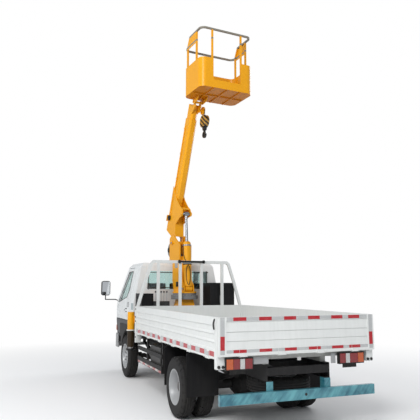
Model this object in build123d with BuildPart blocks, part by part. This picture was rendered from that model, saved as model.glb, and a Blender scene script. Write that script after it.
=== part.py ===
from build123d import *
import os
from math import cos, pi, radians, sin

# Cherry picker truck: a light flat-bed lorry with a slewing, telescoping crane boom between the
# cab and the bed, and a work basket on the boom's head.
# Millimetres. +X is forward, +Y is the truck's left, +Z is up. The origin is on the ground, half
# way between the rear face and the front bumper.

os.makedirs("parts", exist_ok=True)

# Overall
OVERALL_LENGTH = 5976.0
HINGE_RADIUS = 9.0
REAR_X = -OVERALL_LENGTH / 2 + 2 * HINGE_RADIUS
FRONT_X = OVERALL_LENGTH / 2
SEAT_GAP = 0.3
CUT = 1.0
LEFT_RIGHT = (("left", 1), ("right", -1))

# Wheels and axles
WHEELBASE = 3360.0
REAR_OVERHANG = 1538.0
REAR_AXLE_X = REAR_X + REAR_OVERHANG
FRONT_AXLE_X = REAR_AXLE_X + WHEELBASE
TYRE_RADIUS = 382.0
TYRE_WIDTH = 190.0
RIM_RADIUS = 212.0
RIM_LIP = 14.0
DISC_THICKNESS = 12.0
TYRE_SIDES = 30
HUB_SIDES = 12
AXLE_Z = TYRE_RADIUS
FRONT_TYRE_Y = 800.0
OUTER_TYRE_Y = 900.0
INNER_TYRE_Y = 650.0
HUB_RADIUS = 75.0
DRUM_RADIUS = 150.0
HAND_HOLE_RING = 172.0
HAND_HOLE_RADIUS = 20.0
HUB_BORE_RADIUS = 30.0
BEARING_GAP = 0.05
KINGPIN_Y = 600.0
KINGPIN_RADIUS = 14.0
KINGPIN_EYE = 76.0
KNUCKLE_HEIGHT = 110.0

# Ladder frame
RAIL_Y = 370.0
RAIL_WIDTH = 65.0
RAIL_DEPTH = 170.0
RAIL_TOP_Z = 810.0
RAIL_WALL = 8.0
RAIL_BOTTOM_Z = RAIL_TOP_Z - RAIL_DEPTH
RAIL_REAR_X = REAR_X + 60
RAIL_FRONT_X = 2550.0
MEMBER_BOTTOM_Z = RAIL_BOTTOM_Z + 60
MEMBER_TOP_Z = RAIL_TOP_Z - 25
MEMBER_WIDTH = 60.0
WEB_Y = RAIL_Y + RAIL_WIDTH / 2 - RAIL_WALL
RAIL_FACE_Y = RAIL_Y + RAIL_WIDTH / 2
CAB_MOUNT_XS = (1550.0, 2490.0)
CAB_MOUNT_LENGTH = 80.0
SPRING_WIDTH = 60.0
SPRING_LEAF = 11.0
SPRING_EYE_DROP = 55.0
SPRING_PAD_RISE = 62.0

# Spare wheel under the frame's tail
SPARE_X = -2415.0
SPARE_Z = 540.0
SPARE_POST_RADIUS = 60.0

# Bed
BED_FRONT_X = 725.0
BED_HALF_WIDTH = 1000.0
BED_FLOOR_TOP_Z = 965.0
BED_FLOOR_THICKNESS = 45.0
BEARER_COUNT = 9
BEARER_WIDTH = 60.0
BEARER_DEPTH = 50.0
LONG_BEARER_WIDTH = 56.0
SIDE_BOTTOM_Z = 900.0
SIDE_TOP_Z = 1345.0
SIDE_THICKNESS = 38.0
SIDE_GAP = 6.0
POST_WIDTH = 70.0
POST_LEG_DEPTH = 88.0
REAR_LEG_BOTTOM_Z = 800.0
FRONT_LEG_BOTTOM_Z = 750.0
TAILGATE_BOTTOM_Z = 935.0
TAILGATE_POST = 90.0
SIDE_HINGES = 6
HINGE_HALF_LENGTH = 40.0
HINGE_STRAP = 6.0
LUG_WIDTH = 12.0
LUG_HALF = HINGE_RADIUS - 1

# Headboard and rack behind the crane
RACK_X = BED_FRONT_X
RACK_BAR = 50.0
RACK_DEPTH = 32.0
RACK_TOP_Z = 2135.0
RACK_FOOT_Y = 960.0
RACK_KNEE_Y = 840.0
RACK_KNEE_Z = 1740.0
RACK_HEAD_Y = 700.0
RACK_BAR_YS = (200.0, 600.0)
BOOM_REST_Z = RACK_TOP_Z - 20
BOOM_REST_HALF = 235.0
BOOM_REST_RADIUS = 14.0
BOOM_REST_KNOB = 26.0

# Cab
CAB_REAR_X = 1470.0
CAB_FRONT_X = 2935.0
CAB_HALF_WIDTH = 855.0
CAB_FLOOR_Z = 960.0
CAB_NOSE_BOTTOM_Z = 740.0
CAB_NOSE_REAR_X = 2560.0
CAB_ROOF_Z = 2130.0
CAB_BELT_Z = 1370.0
CAB_WALL = 38.0
ROOF_HALF_WIDTH = 715.0
ROOF_CORNER = 45.0
WINDSCREEN_FOOT_X = 2905.0
WINDSCREEN_HEAD_X = 2470.0
DOOR_REAR_X = 1975.0
DOOR_FRONT_X = 2800.0
DOOR_BOTTOM_Z = 1040.0
DOOR_GAP = 10.0
DOOR_FRAME = 45.0
DOOR_HINGE_RADIUS = 9.0
DOOR_HINGE_Y = CAB_HALF_WIDTH + DOOR_HINGE_RADIUS + 1
DOOR_HINGE_ZS = (1110.0, 1290.0)
DOOR_KNUCKLE = 36.0
DOOR_HANDLE_Z = 1230.0
REAR_WINDOW_WIDTH = 1200.0
REAR_WINDOW_HEIGHT = 334.0
REAR_WINDOW_Z = 1800.0
WINDOW_CORNER = 40.0
GLASS = 5.0
MIRROR_X = 2935.0
MIRROR_Y = 1100.0
MIRROR_WIDTH = 180.0
MIRROR_HEIGHT = 298.0
MIRROR_DEPTH = 56.0
MIRROR_Z = 1646.0

# Crane, in its own frame: x runs forward from the slewing centre, y to its left
CRANE_X = 1095.0
REST_SLEW = 5.0
RING_RADIUS = 245.0
RING_BOTTOM_Z = 1450.0
RING_TOP_Z = 1560.0
RING_STEP = 45.0
TURNTABLE = 26.0
COLUMN_HALF_WIDTH = 120.0
COLUMN_REAR = -60.0
COLUMN_FRONT = 286.0
CHEEK_FRONT = 445.0
CHEEK_BOTTOM_Z = 2170.0
CHEEK_TOP_Z = 2630.0
CHEEK_PLATE = 22.0
PIN_X = 300.0
PIN_Z = 2500.0
PIN_RADIUS = 32.0
PIN_HEAD = 25.0
REST_ELEVATION = 67.4
WINCH_X = 505.0
WINCH_Z = 2375.0
WINCH_RADIUS = 140.0
WINCH_DRUM_RADIUS = 85.0
WINCH_HALF = 60.0
WINCH_FLANGE = 15.0

# Boom, measured along its own axis from the foot pin
BOOM_WIDTH = 150.0
BOOM_DEPTH = 250.0
BOOM_LIFT = 350.0
BOOM_WALL = 7.0
BOOM_CHAMFER = 34.0
BOOM_START = 112.0
BOOM_OUTER_END = 2330.0
BOOM_TIP = 2600.0
INNER_START = 450.0
INNER_CLEARANCE = 6.0
WEAR_RING = 60.0
FOOT_PLATE = 12.0

# Lift cylinder
BARREL_BASE_X = -165.0
BARREL_BASE_Z = 1640.0
BARREL_RADIUS = 72.0
BARREL_LENGTH = 836.0
GLAND = 18.0
ROD_RADIUS = 26.0
ROD_LENGTH = 700.0
EYE_RADIUS = 42.0
EYE_ALONG = 613.0
EYE_DROP = 127.0
EYE_ROOM = 75.0
CYLINDER_PIN_RADIUS = 20.0

# Head sheave, hook and basket pivot
BASKET_PIN_ALONG = 2656.0
BASKET_PIN_RISE = 174.0
SHEAVE_ALONG = 2520.0
SHEAVE_RISE = 200.0
SHEAVE_RADIUS = 75.0
HOOK_Y = -136.0
HOOK_BLOCK_WIDTH = 84.0
HOOK_BLOCK_Z = 4680.0
HOOK_BLOCK_RADIUS = 118.0
ROPE_RADIUS = 6.0

# Basket
BASKET_LENGTH = 720.0
BASKET_WIDTH = 1030.0
BASKET_FLOOR_Z = 5080.0
BASKET_RAIL_HEIGHT = 1090.0
BASKET_WALL_HEIGHT = 530.0
BASKET_FRONT = -505.0
BASKET_CENTRE_Y = -255.0
BASKET_SHEET = 6.0
BASKET_CORNER = 112.0
BASKET_RIB = 18.0
DOORWAY_WIDTH = 540.0
DOORWAY_SILL = 145.0
RAIL_TUBE = 30.0
FRONT_RAIL_DROP = 170.0
SIDE_POSTS = (-1010.0, -633.0)
SIDE_SHEET_HEIGHT = 215.0
POST_FOOT = 100.0

# Outriggers
HOUSING_HALF_LENGTH = 860.0
HOUSING_SIZE = 150.0
HOUSING_Z = 1110.0
HOUSING_WALL = 8.0
BEAM_CLEARANCE = 5.0
BEAM_START_Y = 60.0
JACK_Y = 985.0
JACK_RADIUS = 60.0
JACK_TOP_Z = 1235.0
JACK_CAP = 25.0
JACK_BOTTOM_Z = 640.0
JACK_COLLAR_Z = 915.0
JACK_COLLAR = 20.0
LEG_RADIUS = 45.0
PAD_RADIUS = 75.0
PAD_THICKNESS = 30.0

turn = radians(REST_SLEW)
rise = radians(REST_ELEVATION)
CRANE_AHEAD = Vector(cos(turn), sin(turn), 0)
CRANE_LEFT = Vector(-sin(turn), cos(turn), 0)
UP = Vector(0, 0, 1)
BOOM_ALONG = CRANE_AHEAD * -cos(rise) + UP * sin(rise)
BOOM_UP = CRANE_AHEAD * sin(rise) + UP * cos(rise)


def crane_point(x, y, z):
    """A place in the crane's own frame, as a point of the truck's."""
    return Vector(CRANE_X, 0, 0) + CRANE_AHEAD * x + CRANE_LEFT * y + UP * z


def crane_side(y):
    """The crane's side view, x forward and z up, at y to its left; it faces right."""
    return Plane(origin=crane_point(0, y, 0), x_dir=CRANE_AHEAD, z_dir=-CRANE_LEFT)


def crane_level(z, x=0, y=0):
    """The crane's plan view at height z."""
    return Plane(origin=crane_point(x, y, z), x_dir=CRANE_AHEAD, z_dir=UP)


PIN_POINT = crane_point(PIN_X, 0, PIN_Z)


def boom_point(along, up, y=0):
    """A place on the boom, along it and above it from the foot pin, y to the left."""
    return PIN_POINT + BOOM_ALONG * along + BOOM_UP * up + CRANE_LEFT * y


def boom_side(y):
    """The boom's side view, x along it and y towards its top; it faces left."""
    return Plane(origin=boom_point(0, 0, y), x_dir=BOOM_ALONG, z_dir=CRANE_LEFT)


def boom_section(along, up=BOOM_LIFT):
    """A section across the boom, y towards its top; it faces the tip."""
    return Plane(origin=boom_point(along, up), x_dir=-CRANE_LEFT, z_dir=BOOM_ALONG)


def box(x0, x1, y0, y1, z0, z1, mode=Mode.ADD):
    """A block between two corners, in the open part."""
    with BuildSketch(Plane.XY.offset(min(z0, z1))) as base:
        with Locations(((x0 + x1) / 2, (y0 + y1) / 2)):
            Rectangle(abs(x1 - x0), abs(y1 - y0))
    extrude(base.sketch, amount=abs(z1 - z0), mode=mode)


def upright_profile(points, x0, x1, mode=Mode.ADD):
    """A cross-section of (y, z) points, drawn out from x0 to x1."""
    with BuildSketch(Plane.YZ.offset(x0)) as section:
        with BuildLine() as outline:
            Polyline(*points, close=True)
        make_face(outline.edges())
    extrude(section.sketch, amount=x1 - x0, mode=mode)


def side_profile(points, y0, y1, mode=Mode.ADD, inset=0):
    """A side view of (x, z) points, drawn in by inset and drawn out from y0 to y1."""
    with BuildSketch(Plane.XZ.offset(-y0)) as section:
        with BuildLine() as outline:
            Polyline(*points, close=True)
        make_face(outline.edges())
        if inset:
            offset(amount=-inset, kind=Kind.INTERSECTION, mode=Mode.REPLACE)
    extrude(section.sketch, amount=y0 - y1, mode=mode)


def rounded(radius, sides):
    """A circle in the open sketch, or with sides a polygon round it, flat to its axes."""
    if sides:
        RegularPolygon(radius, sides, major_radius=False, rotation=180 / sides)
    else:
        Circle(radius)


def upright_bar(x, y, radius, z0, z1, mode=Mode.ADD, sides=0):
    """An upright bar or bore, round or of so many sides."""
    with BuildSketch(Plane.XY.offset(z0)) as section:
        with Locations((x, y)):
            rounded(radius, sides)
    extrude(section.sketch, amount=z1 - z0, mode=mode)


def cross_bar(x, z, radius, y0, y1, mode=Mode.ADD, sides=0):
    """A bar or bore across the truck, round or of so many sides."""
    with BuildSketch(Plane.XZ.offset(-y0)) as section:
        with Locations((x, z)):
            rounded(radius, sides)
    extrude(section.sketch, amount=y0 - y1, mode=mode)


def long_bar(y, z, radius, x0, x1, mode=Mode.ADD, sides=0):
    """A bar along the truck, round or of so many sides."""
    with BuildSketch(Plane.YZ.offset(x0)) as section:
        with Locations((y, z)):
            rounded(radius, sides)
    extrude(section.sketch, amount=x1 - x0, mode=mode)


def facets(centre, axle, stations, sides, mode=Mode.ADD):
    """A body of flat facets round an axle, through (place along it, radius) stations."""
    ahead = Vector(1, 0, 0)
    across = axle.cross(ahead)
    turns = [2 * pi * index / sides for index in range(sides)]
    rings = []
    for place, radius in stations:
        reach = radius / cos(pi / sides)
        rings.append([centre + axle * place + (ahead * cos(angle) + across * sin(angle)) * reach
                      for angle in turns])
    panels = [Face(Wire.make_polygon(ring)) for ring in (rings[0], rings[-1])]
    for near, far in zip(rings, rings[1:]):
        for index in range(sides):
            follow = (index + 1) % sides
            panels.append(Face(Wire.make_polygon([near[index], near[follow], far[follow],
                                                  far[index]])))
    add(Solid(Shell(panels)), mode=mode)


def save(piece, name):
    """Labels a finished piece and writes its file."""
    piece.part.label = name
    export_step(piece.part, f"parts/{name}.step")


# Ladder frame: two channels open inwards, with cross members and cab mounts
MEMBER_XS = (RAIL_REAR_X + MEMBER_WIDTH / 2, SPARE_X, -1000.0, 60.0, 860.0, 1250.0,
             RAIL_FRONT_X - 40)
with BuildPart() as frame:
    for side, sign in LEFT_RIGHT:
        box(RAIL_REAR_X, RAIL_FRONT_X, sign * (RAIL_FACE_Y - RAIL_WIDTH), sign * RAIL_FACE_Y,
            RAIL_BOTTOM_Z, RAIL_TOP_Z)
        box(RAIL_REAR_X - CUT, RAIL_FRONT_X + CUT, sign * (RAIL_FACE_Y - RAIL_WIDTH), sign * WEB_Y,
            RAIL_BOTTOM_Z + RAIL_WALL, RAIL_TOP_Z - RAIL_WALL, Mode.SUBTRACT)
        for mount_x in CAB_MOUNT_XS:
            box(mount_x - CAB_MOUNT_LENGTH / 2, mount_x + CAB_MOUNT_LENGTH / 2,
                sign * (RAIL_FACE_Y - RAIL_WIDTH), sign * RAIL_FACE_Y, RAIL_TOP_Z,
                CAB_FLOOR_Z - SEAT_GAP)
    for member_x in MEMBER_XS:
        box(member_x - MEMBER_WIDTH / 2, member_x + MEMBER_WIDTH / 2, -WEB_Y, WEB_Y,
            MEMBER_BOTTOM_Z, MEMBER_TOP_Z)
save(frame, "frame_rails")


def leaf_spring(centre_x, y, half_length, leaves):
    """A leaf spring under one rail: a bowed stack with its eyes in hangers below the rail."""
    eye_z = RAIL_BOTTOM_Z - SPRING_EYE_DROP
    tip_z = eye_z - SPRING_LEAF
    seat_z = AXLE_Z + SPRING_PAD_RISE
    top_z = seat_z + leaves * SPRING_LEAF
    clamp = 80.0
    side_profile([(centre_x - half_length, eye_z), (centre_x - half_length, tip_z),
                  (centre_x - clamp, seat_z), (centre_x + clamp, seat_z),
                  (centre_x + half_length, tip_z), (centre_x + half_length, eye_z),
                  (centre_x + clamp, top_z), (centre_x - clamp, top_z)],
                 y - SPRING_WIDTH / 2, y + SPRING_WIDTH / 2)
    for hanger_x in (centre_x - half_length, centre_x + half_length):
        box(hanger_x - 28, hanger_x + 28, y - 28, y + 28, eye_z - 28, RAIL_BOTTOM_Z - SEAT_GAP)


# Front axle: a dropped forged beam with kingpin eyes, on its springs
BEAM_HALF = KINGPIN_EYE / 2
BEAM_DEPTH = 64.0
with BuildPart() as front_axle:
    half_beam = [(KINGPIN_Y, AXLE_Z - BEAM_HALF), (520, AXLE_Z - BEAM_HALF), (430, AXLE_Z - 80),
                 (-430, AXLE_Z - 80), (-520, AXLE_Z - BEAM_HALF), (-KINGPIN_Y, AXLE_Z - BEAM_HALF),
                 (-KINGPIN_Y, AXLE_Z + BEAM_HALF), (-500, AXLE_Z + BEAM_HALF), (-410, AXLE_Z - 10),
                 (410, AXLE_Z - 10), (500, AXLE_Z + BEAM_HALF), (KINGPIN_Y, AXLE_Z + BEAM_HALF)]
    upright_profile(half_beam, FRONT_AXLE_X - BEAM_DEPTH / 2, FRONT_AXLE_X + BEAM_DEPTH / 2)
    for side, sign in LEFT_RIGHT:
        low_z, high_z = AXLE_Z - BEAM_HALF, AXLE_Z + BEAM_HALF
        upright_bar(FRONT_AXLE_X, sign * KINGPIN_Y, 36, low_z, high_z, sides=16)
        upright_bar(FRONT_AXLE_X, sign * KINGPIN_Y, KINGPIN_RADIUS + BEARING_GAP, low_z, high_z,
                    Mode.SUBTRACT)
        box(FRONT_AXLE_X - 60, FRONT_AXLE_X + 60, sign * (RAIL_Y - 40), sign * (RAIL_Y + 40),
            AXLE_Z - 12, AXLE_Z + SPRING_PAD_RISE + 2)
        leaf_spring(FRONT_AXLE_X, sign * RAIL_Y, 560, 5)
save(front_axle, "front_axle")

# Rear axle: a banjo housing with its tubes and spindles, on its springs
AXLE_TUBE_RADIUS = 62.0
AXLE_TUBE_END = 500.0
BANJO_RADIUS = 165.0
with BuildPart() as rear_axle:
    cross_bar(REAR_AXLE_X, AXLE_Z, HUB_BORE_RADIUS - BEARING_GAP, -OUTER_TYRE_Y, OUTER_TYRE_Y)
    cross_bar(REAR_AXLE_X, AXLE_Z, AXLE_TUBE_RADIUS, -AXLE_TUBE_END, AXLE_TUBE_END, sides=20)
    facets(Vector(REAR_AXLE_X, 0, AXLE_Z), Vector(0, 1, 0),
           ((-190, 80), (-110, BANJO_RADIUS), (110, BANJO_RADIUS), (190, 80)), 18)
    for side, sign in LEFT_RIGHT:
        box(REAR_AXLE_X - 60, REAR_AXLE_X + 60, sign * (RAIL_Y - 40), sign * (RAIL_Y + 40), AXLE_Z,
            AXLE_Z + SPRING_PAD_RISE + 2)
        leaf_spring(REAR_AXLE_X, sign * RAIL_Y, 600, 8)
save(rear_axle, "rear_axle")

# Steering knuckles: a yoke round the axle's eye, the kingpin and the wheel's spindle
YOKE_THICKNESS = 18.0
YOKE_GAP = 6.0
for side, sign in LEFT_RIGHT:
    with BuildPart() as knuckle:
        yoke_z = BEAM_HALF + YOKE_GAP
        upright_bar(FRONT_AXLE_X, sign * KINGPIN_Y, KINGPIN_RADIUS - BEARING_GAP,
                    AXLE_Z - KNUCKLE_HEIGHT / 2 - 5, AXLE_Z + KNUCKLE_HEIGHT / 2 + 5)
        for low_z in (AXLE_Z + yoke_z, AXLE_Z - yoke_z - YOKE_THICKNESS):
            box(FRONT_AXLE_X - 30, FRONT_AXLE_X + 30, sign * (KINGPIN_Y - 28),
                sign * (KINGPIN_Y + 75), low_z, low_z + YOKE_THICKNESS)
        box(FRONT_AXLE_X - 38, FRONT_AXLE_X + 38, sign * (KINGPIN_Y + 48), sign * (KINGPIN_Y + 75),
            AXLE_Z - yoke_z - YOKE_THICKNESS, AXLE_Z + yoke_z + YOKE_THICKNESS)
        cross_bar(FRONT_AXLE_X, AXLE_Z, HUB_BORE_RADIUS - BEARING_GAP, sign * (KINGPIN_Y + 60),
                  sign * FRONT_TYRE_Y)
    save(knuckle, f"knuckle_{side}")

# Wheels, all of flat facets: (place across the tyre from its middle, radius)
TYRE_STATIONS = ((-0.46 * TYRE_WIDTH, RIM_RADIUS + RIM_LIP), (-0.5 * TYRE_WIDTH, TYRE_RADIUS - 84),
                 (-0.36 * TYRE_WIDTH, TYRE_RADIUS), (0.36 * TYRE_WIDTH, TYRE_RADIUS),
                 (0.5 * TYRE_WIDTH, TYRE_RADIUS - 84), (0.46 * TYRE_WIDTH, RIM_RADIUS + RIM_LIP))
TYRE_FACE = 0.46 * TYRE_WIDTH
WELL_RADIUS = RIM_RADIUS - 14


def tyre(centre, axle):
    """One tyre with its rim's barrel still filled."""
    facets(centre, axle, TYRE_STATIONS, TYRE_SIDES)


def dish(centre, axle, mouth, well, floor, floor_radius):
    """The hollow of a rim: from its mouth over the well down to the disc's floor."""
    facets(centre, axle, ((mouth, RIM_RADIUS), (well, WELL_RADIUS), (floor, floor_radius)),
           TYRE_SIDES, Mode.SUBTRACT)


def hand_holes(centre, axle, depth):
    """Eight hand holes through the discs, depth to each side of the centre."""
    with BuildSketch(Plane(origin=centre, x_dir=(1, 0, 0), z_dir=axle)) as holes:
        with PolarLocations(HAND_HOLE_RING, 8, start_angle=22.5):
            RegularPolygon(HAND_HOLE_RADIUS, 6)
    extrude(holes.sketch, amount=depth, both=True, mode=Mode.SUBTRACT)


# Front wheels: one tyre on a disc that bulges out to the hub, with the brake drum inside
FRONT_DISC = 30.0
for side, sign in LEFT_RIGHT:
    with BuildPart() as wheel:
        centre = Vector(FRONT_AXLE_X, sign * FRONT_TYRE_Y, AXLE_Z)
        axle = Vector(0, sign, 0)
        tyre(centre, axle)
        dish(centre, axle, TYRE_FACE + CUT, FRONT_DISC + 20, FRONT_DISC, 150)
        dish(centre, axle, -TYRE_FACE - CUT, FRONT_DISC - 10, FRONT_DISC - DISC_THICKNESS, 160)
        hand_holes(centre + axle * FRONT_DISC, axle, 30)
        facets(centre, axle, ((-82, DRUM_RADIUS), (FRONT_DISC - 8, DRUM_RADIUS)), HUB_SIDES * 2)
        facets(centre, axle, ((FRONT_DISC - 4, 124), (66, 90), (74, 62), (92, 54)), HUB_SIDES)
        cross_bar(FRONT_AXLE_X, AXLE_Z, HUB_BORE_RADIUS, sign * (FRONT_TYRE_Y - 82 - CUT),
                  sign * (FRONT_TYRE_Y + 6), Mode.SUBTRACT)
    save(wheel, f"front_wheel_{side}")

# Rear twin wheels: two tyres whose dished discs are bolted back to back on one hub
TWIN_Y = (OUTER_TYRE_Y + INNER_TYRE_Y) / 2 - 7
SPOOL_RADIUS = 140.0
for side, sign in LEFT_RIGHT:
    with BuildPart() as wheel:
        centre = Vector(REAR_AXLE_X, 0, AXLE_Z)
        axle = Vector(0, sign, 0)
        tyre(centre + axle * OUTER_TYRE_Y, axle)
        tyre(centre + axle * INNER_TYRE_Y, axle)
        facets(centre, axle, ((INNER_TYRE_Y + TYRE_FACE - 2, RIM_RADIUS + 8),
                              (TWIN_Y - DISC_THICKNESS, SPOOL_RADIUS),
                              (TWIN_Y + DISC_THICKNESS, SPOOL_RADIUS),
                              (OUTER_TYRE_Y - TYRE_FACE + 2, RIM_RADIUS + 8)), TYRE_SIDES)
        dish(centre, axle, OUTER_TYRE_Y + TYRE_FACE + CUT, OUTER_TYRE_Y - TYRE_FACE + 14,
             TWIN_Y + DISC_THICKNESS - 2, SPOOL_RADIUS - 16)
        dish(centre, axle, INNER_TYRE_Y - TYRE_FACE - CUT, INNER_TYRE_Y + TYRE_FACE - 14,
             TWIN_Y - DISC_THICKNESS + 2, SPOOL_RADIUS - 16)
        facets(centre, axle, ((INNER_TYRE_Y - 90, DRUM_RADIUS), (INNER_TYRE_Y + 66, DRUM_RADIUS),
                              (TWIN_Y, HUB_RADIUS + 20)), HUB_SIDES * 2)
        facets(centre, axle, ((TWIN_Y, HUB_RADIUS + 15), (TWIN_Y + 40, HUB_RADIUS),
                              (OUTER_TYRE_Y + 8, 64), (OUTER_TYRE_Y + 30, 56)), HUB_SIDES)
        cross_bar(REAR_AXLE_X, AXLE_Z, HUB_BORE_RADIUS, sign * (INNER_TYRE_Y - 90 - CUT),
                  sign * (OUTER_TYRE_Y + 6), Mode.SUBTRACT)
    save(wheel, f"rear_wheels_{side}")

# Spare wheel, flat under the frame's tail, its dish upwards round the carrier's post
with BuildPart() as spare:
    centre = Vector(SPARE_X, 0, SPARE_Z)
    tyre(centre, UP)
    dish(centre, UP, TYRE_FACE + CUT, FRONT_DISC + 20, FRONT_DISC, 150)
    dish(centre, UP, -TYRE_FACE - CUT, FRONT_DISC - 10, FRONT_DISC - DISC_THICKNESS, 160)
    facets(centre, UP, ((FRONT_DISC + SEAT_GAP, SPARE_POST_RADIUS),
                        (MEMBER_BOTTOM_Z - SEAT_GAP - SPARE_Z, SPARE_POST_RADIUS)), HUB_SIDES)
save(spare, "spare_wheel")

# Bed: floor plate on cross bearers and two long bearers
BED_REAR_X = REAR_X + SIDE_THICKNESS
FLOOR_BOTTOM_Z = BED_FLOOR_TOP_Z - BED_FLOOR_THICKNESS
BEARER_BOTTOM_Z = FLOOR_BOTTOM_Z - BEARER_DEPTH
FLOOR_Y = BED_HALF_WIDTH - SIDE_THICKNESS - SIDE_GAP
BEARER_MARGIN = 120.0
BEARER_STEP = (BED_FRONT_X - BED_REAR_X - 2 * BEARER_MARGIN) / (BEARER_COUNT - 1)
BEARER_XS = [BED_REAR_X + BEARER_MARGIN + index * BEARER_STEP for index in range(BEARER_COUNT)]
with BuildPart() as bed_floor:
    box(BED_REAR_X + SIDE_GAP, BED_FRONT_X, -FLOOR_Y, FLOOR_Y, FLOOR_BOTTOM_Z, BED_FLOOR_TOP_Z)
    for bearer_x in BEARER_XS:
        box(bearer_x - BEARER_WIDTH / 2, bearer_x + BEARER_WIDTH / 2, -FLOOR_Y + 20, FLOOR_Y - 20,
            BEARER_BOTTOM_Z, FLOOR_BOTTOM_Z)
    for side, sign in LEFT_RIGHT:
        box(BED_REAR_X + 100, BED_FRONT_X - 40, sign * (RAIL_Y - LONG_BEARER_WIDTH / 2),
            sign * (RAIL_Y + LONG_BEARER_WIDTH / 2), RAIL_TOP_Z, FLOOR_BOTTOM_Z)
save(bed_floor, "bed_floor")

# Corner posts with their legs, and the fixed lugs of the hinges, all held by the bed's floor
DROPSIDE_REAR_X = BED_REAR_X + SIDE_GAP + POST_WIDTH + SIDE_GAP
DROPSIDE_FRONT_X = BED_FRONT_X - POST_WIDTH - SIDE_GAP
SIDE_HINGE_MARGIN = 180.0
SIDE_HINGE_STEP = (DROPSIDE_FRONT_X - DROPSIDE_REAR_X - 2 * SIDE_HINGE_MARGIN) / (SIDE_HINGES - 1)
SIDE_HINGE_XS = [DROPSIDE_REAR_X + SIDE_HINGE_MARGIN + index * SIDE_HINGE_STEP
                 for index in range(SIDE_HINGES)]
GATE_HALF_WIDTH = BED_HALF_WIDTH - 4
GATE_HINGE_YS = (-0.72 * GATE_HALF_WIDTH, -0.25 * GATE_HALF_WIDTH, 0.25 * GATE_HALF_WIDTH,
                 0.72 * GATE_HALF_WIDTH)
LUG_OUT = HINGE_HALF_LENGTH + SEAT_GAP
# rear edge, lower end of the leg
POSTS = ((BED_REAR_X + SIDE_GAP, REAR_LEG_BOTTOM_Z), (BED_FRONT_X - POST_WIDTH, FRONT_LEG_BOTTOM_Z))
with BuildPart() as bed_posts:
    for side, sign in LEFT_RIGHT:
        outer_y = sign * BED_HALF_WIDTH
        for post_x, leg_z in POSTS:
            box(post_x, post_x + POST_WIDTH, sign * (FLOOR_Y + SEAT_GAP), outer_y, leg_z, SIDE_TOP_Z)
            box(post_x, post_x + POST_WIDTH, sign * (BED_HALF_WIDTH - POST_LEG_DEPTH), outer_y, leg_z,
                FLOOR_BOTTOM_Z - SEAT_GAP)
        pin_y = sign * (BED_HALF_WIDTH + HINGE_RADIUS)
        for hinge_x in SIDE_HINGE_XS:
            for lug_x in (hinge_x - LUG_OUT - LUG_WIDTH, hinge_x + LUG_OUT):
                box(lug_x, lug_x + LUG_WIDTH, sign * (FLOOR_Y - 30), pin_y + sign * LUG_HALF,
                    SIDE_BOTTOM_Z - LUG_HALF, SIDE_BOTTOM_Z - 3)
                box(lug_x, lug_x + LUG_WIDTH, sign * (FLOOR_Y - 30), sign * (FLOOR_Y - 2),
                    SIDE_BOTTOM_Z - LUG_HALF, FLOOR_BOTTOM_Z - SEAT_GAP)
    for hinge_y in GATE_HINGE_YS:
        for lug_y in (hinge_y - LUG_OUT - LUG_WIDTH, hinge_y + LUG_OUT):
            box(REAR_X - HINGE_RADIUS - LUG_HALF, BED_REAR_X + SIDE_GAP - SEAT_GAP, lug_y,
                lug_y + LUG_WIDTH, TAILGATE_BOTTOM_Z - LUG_HALF, TAILGATE_BOTTOM_Z - 4)
save(bed_posts, "bed_posts")

# Dropsides: one pressed panel a side, with three swages, hinged along its lower edge
SWAGE_ROWS = (1045.0, 1135.0, 1225.0)
SWAGE_DEPTH = 14.0
for side, sign in LEFT_RIGHT:
    with BuildPart() as dropside:
        inner = BED_HALF_WIDTH - SIDE_THICKNESS
        pressed = BED_HALF_WIDTH - SWAGE_DEPTH
        outline = [(inner, SIDE_BOTTOM_Z), (BED_HALF_WIDTH, SIDE_BOTTOM_Z),
                   (BED_HALF_WIDTH, SWAGE_ROWS[0] - 45)]
        for row in SWAGE_ROWS:
            outline += [(pressed, row - 33), (pressed, row + 22), (BED_HALF_WIDTH, row + 34)]
        outline += [(BED_HALF_WIDTH, SIDE_TOP_Z), (inner, SIDE_TOP_Z)]
        upright_profile([(sign * y, z) for y, z in outline], DROPSIDE_REAR_X, DROPSIDE_FRONT_X)
        for hinge_x in SIDE_HINGE_XS:
            long_bar(sign * (BED_HALF_WIDTH + HINGE_RADIUS), SIDE_BOTTOM_Z, HINGE_RADIUS,
                     hinge_x - HINGE_HALF_LENGTH, hinge_x + HINGE_HALF_LENGTH)
            box(hinge_x - HINGE_HALF_LENGTH, hinge_x + HINGE_HALF_LENGTH,
                sign * (BED_HALF_WIDTH - 2), sign * (BED_HALF_WIDTH + HINGE_STRAP),
                SIDE_BOTTOM_Z, SIDE_BOTTOM_Z + 70)
    save(dropside, f"dropside_{side}")

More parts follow.
